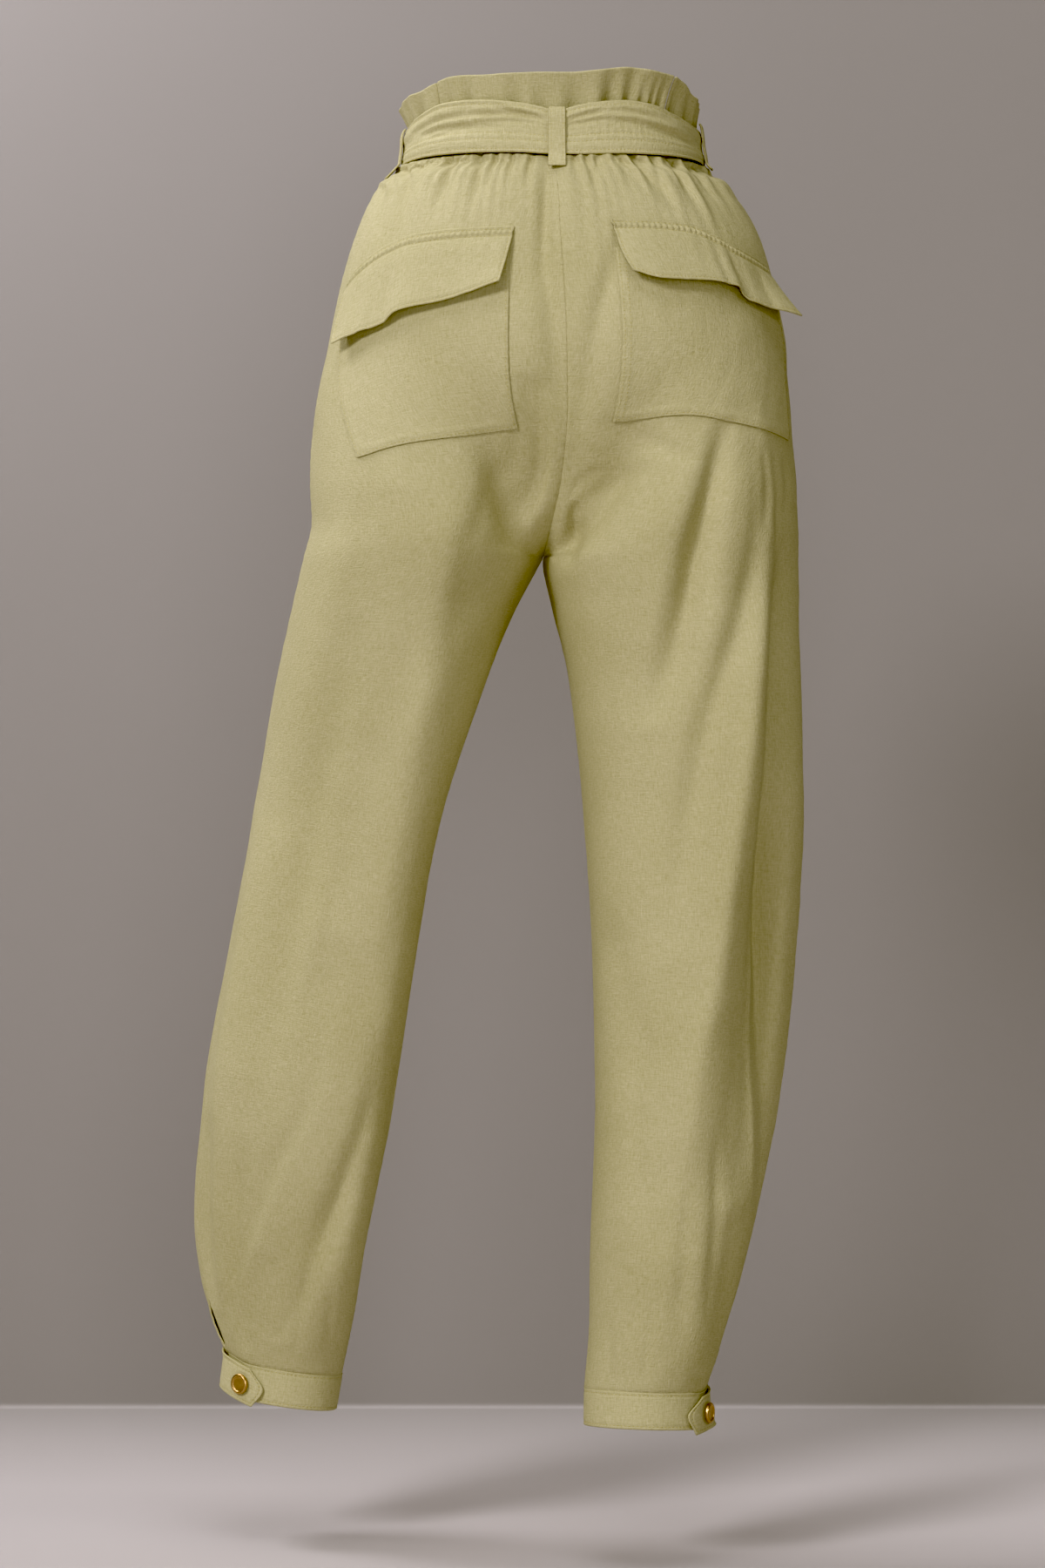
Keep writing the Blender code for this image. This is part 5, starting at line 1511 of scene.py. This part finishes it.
# Belt knot and ends. The belt is tied in a flat half knot at the front, and its two ends hang from
# it side by side, cut on a slant.
KNOT_MIDDLE = np.array((1, -107.5, -19))
KNOT_SIZE = np.array((19, 9, 19))
KNOT_POWER = 2.8  # how square it is; at 2 it would be an ellipsoid
KNOT_RIDGE, KNOT_GROOVE, KNOT_GROOVE_AT = 0.035, 0.05, 0.5
KNOT_CLOTH = (0.11, 0.05)  # metres of cloth round it and down it
bpy.ops.object.select_all(action="DESELECT")
bpy.ops.mesh.primitive_uv_sphere_add(segments=96, ring_count=56, radius=1)
knot = bpy.context.object
knot.name = "linen_belt_knot"
ball = np.array([vertex.co for vertex in knot.data.vertices])
wrap = ball[:, 0] * 2.2 + ball[:, 2] * 1.1  # the belt's folds run across the knot on a slant
groove = KNOT_GROOVE * np.exp(-((wrap - KNOT_GROOVE_AT) ** 2) * 60)
ridges = 1 - KNOT_RIDGE * (1 + np.cos(wrap * 6)) - groove
placed = rounded(ball, KNOT_POWER) * KNOT_SIZE * ridges[:, None] + KNOT_MIDDLE
knot.data.vertices.foreach_set("co", (placed * MM).astype(np.float32).ravel())
measure = knot.data.uv_layers[0]
measure.name = "cloth"
wrapped = np.zeros(len(knot.data.loops) * 2, np.float32)
measure.data.foreach_get("uv", wrapped)
wrapped = wrapped.reshape(-1, 2) * KNOT_CLOTH
measure.data.foreach_set("uv", wrapped.astype(np.float32).ravel())
knot.data.shade_smooth()
knot.data.materials.append(LINEN_PAINTED_LIGHTER)
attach(knot, "root")
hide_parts("belt_knot")

TAIL_TOP_Z, TAIL_LENGTH = -42, 235
TAIL_LINE = table(
    "z inner_x width front_y",
    (-42, 1, 19, -107),
    (-60, 2, 24, -114),
    (-92, 6, 31, -120),
    (-152, 12, 38, -124),
    (-217, 17, 42, -126),
    (-277, 20, 44, -125),
)
TAIL_DOWN, TAIL_ACROSS = 90, 26
TAIL_STITCHES = (1.2, 7.0, 23.8)  # the columns that the rows of stitches follow
TAIL_SLANT = 8
TAIL_BEND = 6  # how far back its outer edge bends
for name, side in SIDES.items():
    down, u = np.linspace(0, 1, TAIL_DOWN)[:, None], np.linspace(0, 1, TAIL_ACROSS)[None, :]
    z = TAIL_TOP_Z - TAIL_LENGTH * down
    inner_x, width, y = [smooth(TAIL_LINE, key, z) for key in ("inner_x", "width", "front_y")]
    x = KNOT_MIDDLE[0] + side * (inner_x + width * u)
    ripple = 2.2 * np.cos(2.5 * math.pi * u + 2.8 * down * side) + 0.5 * np.sin(9 * down + 5 * u)
    slant = -TAIL_SLANT * down * (u if side == LEFT else 1 - u)
    outer = stacked(x, y + ripple + TAIL_BEND * u * u - BELT_THICK, z + slant)
    tail = cloth_piece(f"linen_belt_end_{name}", outer, BELT_THICK, LINEN_PAINTED_LIGHTER, flip=side == RIGHT)
    outward = facing(outer) * side
    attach(tail, "root")
    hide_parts(f"belt_end_{name}")
    seams = [line_on(outer, outward, np.arange(TAIL_DOWN), column) for column in TAIL_STITCHES]
    stitches = sew(f"stitching_belt_end_{name}", seams, THREAD)
    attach(stitches, "root")

# Belt loops. Five narrow tubes of linen pressed flat and stitched along both edges. Each is caught
# under the frill, crosses the belt and is turned under at its lower end, where it is tacked down.
LOOP_WIDTH, LOOP_THICK = 12, 1.5
LOOP_CLEAR, LOOP_EASE = 1.0, 0.2  # how far it stands off the belt
LOOP_ROOT, LOOP_OVER = 3.4, 1.5  # where it leaves the band: out from the waist's line, above its top
LOOP_DOWN, LOOP_ACROSS = 60, 15
LOOP_STITCHES = (2.0, 12.0)  # the columns that the rows of stitches follow
LOOP_DIP, LOOP_DIP_AT, LOOP_DIP_WIDTH = 0.3, 1.7, 0.8
LOOP_SOFTENED = 6  # how many times its course is smoothed
BELT_LOOPS = table(
    "name degrees bulge top bottom kick",  # kick is how much further out its lower end lies
    ("belt_loop_back", 181, 0, 2.2, -42, 4),
    ("belt_loop_left", 97, 0, -4, -41.5, 11),
    ("belt_loop_right", 262, 0, 0, -34, 4),
    ("belt_loop_front_left", 32, 0.5, -2, -44, 6),
    ("belt_loop_front_right", 328, 0.5, -2, -44, 6),
)


def half_turn(degrees, width):
    """Half the turn round the waist that spans a width at one place, found by halving."""
    low, high = 0, 10
    for _ in range(20):
        turn = (low + high) / 2
        span = waist_point(degrees + turn, LOOP_ROOT, 0) - waist_point(degrees - turn, LOOP_ROOT, 0)
        low, high = (turn, high) if np.linalg.norm(span) < width else (low, turn)
    return (low + high) / 2


for loop in BELT_LOOPS:
    over = BELT_THICK + LOOP_CLEAR + LOOP_EASE
    here = loop["degrees"]
    crossing = loop["top"] + LOOP_OVER
    # the loop's course down over the belt, as (grow out from the waist, height)
    path = [(LOOP_ROOT, crossing), (belt_place(here, 1)[1] + over - LOOP_CLEAR, crossing)]
    for part in (0.9, 0.6, 0.3, 0):
        z, grow = belt_place(here, part)
        bulge = loop["bulge"] * math.sin(math.pi * part)
        path.append((grow + over + bulge, min(z, loop["top"] - LOOP_OVER)))
    path.append((path[-1][0] + loop["kick"], loop["bottom"]))
    path = np.array(path, float)
    run = run_along(path)
    line = along_line(np.linspace(0, run[-1], LOOP_DOWN), run, path)
    for _ in range(LOOP_SOFTENED):
        line[1:-1] = (line[:-2] + 2 * line[1:-1] + line[2:]) / 4
    along = unit(np.gradient(line, axis=0))
    outer_line = line + np.stack([-along[:, 1], along[:, 0]], 1) * LOOP_THICK
    around = half_turn(here, LOOP_WIDTH)
    share = np.linspace(-1, 1, LOOP_ACROSS)[None, :]
    edge = (1 - np.abs(share)) * LOOP_WIDTH / 2
    dip = LOOP_DIP * np.exp(-(((edge - LOOP_DIP_AT) / LOOP_DIP_WIDTH) ** 2))
    degrees = here + around * share
    outer = waist_point(degrees, outer_line[:, :1] - dip, outer_line[:, 1:])
    inner = waist_point(degrees, line[:, :1] + 0 * share, line[:, 1:])
    strip = cloth_piece(f"linen_{loop['name']}", outer, LOOP_THICK, LINEN_PAINTED_LIGHTER, inner=inner)
    outward = facing(outer)
    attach(strip, "root")
    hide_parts(loop["name"])
    seams = [line_on(outer, outward, np.arange(LOOP_DOWN), column) for column in LOOP_STITCHES]
    stitches = sew(f"stitching_{loop['name']}", seams, THREAD)
    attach(stitches, "root")

# Cuffs. Each is a straight band of doubled linen, stitched round its edges. It starts behind the
# vent, goes once round the hem and laps over its own start with a pointed end.
CUFF_HEIGHT, CUFF_GROW, CUFF_THICK = 28, 0.6, 2.0
CUFF_DOWN, CUFF_AROUND, CUFF_ONCE = 26, 230, 0.8  # its grid, and the share that goes once round
CUFF_STITCH, CUFF_DIP, CUFF_DIP_WIDTH = 1.8, 0.6, 0.9
CUFF_RUMPLE = 0.35
HEM_FLARE, CUFF_TAPER = 0.33, 0.02  # how the leg widens above the hem, and the cuff narrows below it
LAP_GROW = 3.4  # how far out the lapping end lies
LAP_FLARE = {LEFT: 0, RIGHT: 7}  # how far the cuff's lower edge stands off at the vent
LAP_FLARE_AT, LAP_FLARE_WIDTH = 4, 14
BAND_START = 1  # the band starts this far past the vent
TIP = table("share reach", (0, 31), (0.42, 45), (1, 37))


def cuff_point(side, along, drop, grow):
    """A point near the cuff: along in mm from the vent, drop below the hem, grow out from it."""
    z = float(HEM_Z[side])
    a = 0.5 + along / cuff_stretch(side)
    step = 0.004
    around = form(side, np.mod(a + step, 1), z) - form(side, np.mod(a - step, 1), z)
    outward = unit(stacked(around[..., 1] * side, -around[..., 0] * side, 0))
    foot = LEGS[side][-1]
    axis = np.array((foot["lean_x"], foot["lean_y"], -1.0))
    axis = axis / np.linalg.norm(axis)
    flare = HEM_FLARE * np.maximum(0, -drop) - CUFF_TAPER * drop
    out = (grow + flare)[..., None]
    return form(side, np.mod(a, 1), z) + outward * out + axis * drop[..., None]


def lap_point(side, along, share, layer):
    """A point of the cuff band. along is 0 where the band has come round to the vent again."""
    along, share, layer = np.broadcast_arrays(*[np.asarray(v, float) for v in (along, share, layer)])
    from_start = along + cuff_stretch(side)
    drop = np.where(from_start < START_RISE_END, -hem_rise(from_start), band_drop(along))
    grow = CUFF_GROW + LAP_GROW * eased((along - RISE_END) / -RISE_END) - layer
    at_vent = np.exp(-(((along - LAP_FLARE_AT) / LAP_FLARE_WIDTH) ** 2))
    grow = grow + LAP_FLARE[side] * share**2 * at_vent
    return cuff_point(side, along, drop + SEAM_GAP + CUFF_HEIGHT * share, grow)


for name, side in SIDES.items():
    share = np.linspace(0, 1, CUFF_DOWN)[:, None]
    reach = smooth(TIP, "reach", share, "share")
    start = BAND_START - cuff_stretch(side)
    column = np.linspace(0, 1, CUFF_AROUND)[None, :]
    once_round = np.clip(column / CUFF_ONCE, 0, 1)
    lapped = np.clip((column - CUFF_ONCE) / (1 - CUFF_ONCE), 0, 1)
    along = start * (1 - once_round) + reach * lapped
    edge = np.minimum(share, 1 - share) * CUFF_HEIGHT
    edge = np.minimum(edge, np.maximum(reach - along, 0))
    dip = CUFF_DIP * np.exp(-(((edge - CUFF_STITCH) / CUFF_DIP_WIDTH) ** 2))
    soft = CUFF_RUMPLE * rumple(along, share * CUFF_HEIGHT, 41 + side)
    outer = lap_point(side, along, share, dip - soft)
    inner = lap_point(side, along, share, CUFF_THICK - soft)
    cuff_name = f"linen_cuff_{name}"
    cuff = cloth_piece(cuff_name, outer, CUFF_THICK, LINEN_PAINTED_LIGHTER, flip=side == LEFT, inner=inner)
    outward = facing(outer) * -side
    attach(cuff, "root")
    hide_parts(f"cuff_{name}")
    upper = CUFF_STITCH / CUFF_HEIGHT * (CUFF_DOWN - 1)
    lower = CUFF_DOWN - 1 - upper
    seams = [line_on(outer, outward, row, np.arange(CUFF_AROUND - 2)) for row in (upper, lower)]
    seams.append(line_on(outer, outward, np.linspace(upper, lower, 40), CUFF_AROUND - 3.5))
    stitches = sew(f"stitching_cuff_{name}", seams, THREAD)
    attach(stitches, "root")

# Vents. Behind the slit above each cuff lies a narrow strip of linen, sewn to the slit's back edge, so
# that the slit doesn't gape.
PLACKET_HALF_WIDTH, PLACKET_THICK, PLACKET_SUNK = 9.5, 1.0, 1.5
PLACKET_OVER, PLACKET_FOOT = 4, 2  # how far it reaches above the slit, and ends above the hem
PLACKET_DOWN, PLACKET_ACROSS = 30, 15
for name, side in SIDES.items():
    up = np.linspace(VENT_HEIGHT + PLACKET_OVER, PLACKET_FOOT, PLACKET_DOWN)[:, None]
    share = np.linspace(-1, 1, PLACKET_ACROSS)[None, :]
    a = 0.5 + PLACKET_HALF_WIDTH * share / cuff_stretch(side)
    points = leg_surface(side, a, HEM_Z[side] + up)
    outer = points - facing(points) * side * PLACKET_SUNK
    strip_name = f"linen_vent_placket_{name}"
    strip = cloth_piece(strip_name, outer, PLACKET_THICK, LINEN_PAINTED_LIGHTER, flip=side == RIGHT)
    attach(strip, "root")
    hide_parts(f"vent_placket_{name}")

# Cuff buttons. Each is a light gold metal button on a shank, with a satin face inside a raised rim. It
# holds the band's pointed end.
BUTTON_ALONG = 25.5  # how far past the vent it sits
DISC_RADIUS, DISC_THICK, DISC_MIDDLE = 8.35, 1.6, 2.3
SHANK_INSET, SHANK_LENGTH = 4.3, 1.4
SOFT_EDGE, SOFT_ANGLE, SHARP_ANGLE = 0.3, 25, 40
# The face from its edge inwards: up to the rim, along its flat top, down inside it, and the middle.
BUTTON_STEPS = table(
    "inset rise",
    (0.9, 0.9),
    (1.3, 0.0),
    (0.6, -0.95),
    (2.6, 0.12),
)


def satin_gold(name):
    """Light gold metal in two tones, with a fine grain that softens its shine."""
    made, tree, shader = new_material(name)
    place = add_node(tree, "ShaderNodeTexCoord").outputs["Object"]
    grain = add_node(tree, "ShaderNodeTexNoise", ("Vector", place), ("Scale", 1400.0), ("Detail", 3.0))
    wear = add_node(tree, "ShaderNodeTexNoise", ("Vector", place), ("Scale", 260.0), ("Detail", 4.0))
    colour = mixed_colour(tree, wear.outputs["Fac"], (0.42, 0.27, 0.14), (0.66, 0.46, 0.25))
    tree.links.new(colour, shader.inputs["Base Color"])
    rough = add_node(
        tree, "ShaderNodeMapRange", ("Value", grain.outputs["Fac"]), ("To Min", 0.26), ("To Max", 0.44)
    )
    tree.links.new(rough.outputs[0], shader.inputs["Roughness"])
    bump = add_node(tree, "ShaderNodeBump", ("Height", grain.outputs["Fac"]), ("Distance", 0.00006))
    tree.links.new(bump.outputs[0], shader.inputs["Normal"])
    shader.inputs["Metallic"].default_value = 1.0
    return made


def pick_face(piece, furthest):
    """Picks a piece's highest face in edit mode where furthest is max, and its lowest where it is min."""
    bpy.ops.object.mode_set(mode="EDIT")
    bpy.ops.mesh.select_all(action="DESELECT")
    bpy.ops.object.mode_set(mode="OBJECT")
    furthest(piece.data.polygons, key=lambda p: p.center.z).select = True
    bpy.ops.object.mode_set(mode="EDIT")


GOLD = satin_gold("gold_metal")
for name, side in SIDES.items():
    base = lap_point(side, BUTTON_ALONG, 0.5, -SEAM_GAP)
    outward = unit(lap_point(side, BUTTON_ALONG, 0.5, -5) - base)
    bpy.ops.object.select_all(action="DESELECT")
    bpy.ops.mesh.primitive_cylinder_add(
        vertices=56,
        radius=DISC_RADIUS * MM,
        depth=DISC_THICK * MM,
        location=(0, 0, DISC_MIDDLE * MM),
    )
    button = bpy.context.object
    button.name = f"gold_cuff_button_{name}"
    bpy.ops.object.transform_apply(location=True, rotation=True, scale=True)
    pick_face(button, max)
    for step in BUTTON_STEPS:
        bpy.ops.mesh.inset(thickness=step["inset"] * MM, depth=step["rise"] * MM)
    pick_face(button, min)
    bpy.ops.mesh.inset(thickness=SHANK_INSET * MM, depth=0)
    bpy.ops.mesh.extrude_region_move(TRANSFORM_OT_translate={"value": (0, 0, -SHANK_LENGTH * MM)})
    bpy.ops.mesh.select_all(action="SELECT")
    bpy.ops.mesh.normals_make_consistent(inside=False)
    bpy.ops.object.mode_set(mode="OBJECT")
    bevel = button.modifiers.new("soft_edges", "BEVEL")
    bevel.width = SOFT_EDGE * MM
    bevel.segments = 3
    bevel.limit_method = "ANGLE"
    bevel.angle_limit = math.radians(SOFT_ANGLE)
    bpy.ops.object.modifier_apply(modifier=bevel.name)
    turn = Vector(outward).to_track_quat("Z", "X").to_matrix().to_4x4()
    turn.translation = Vector(base) * MM
    button.data.transform(turn)
    button.data.shade_smooth()
    button.data.set_sharp_from_angle(angle=math.radians(SHARP_ANGLE))
    button.data.materials.append(GOLD)
    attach(button, "root")
    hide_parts(f"cuff_button_{name}")

bpy.ops.object.select_all(action="DESELECT")
bpy.context.view_layer.update()
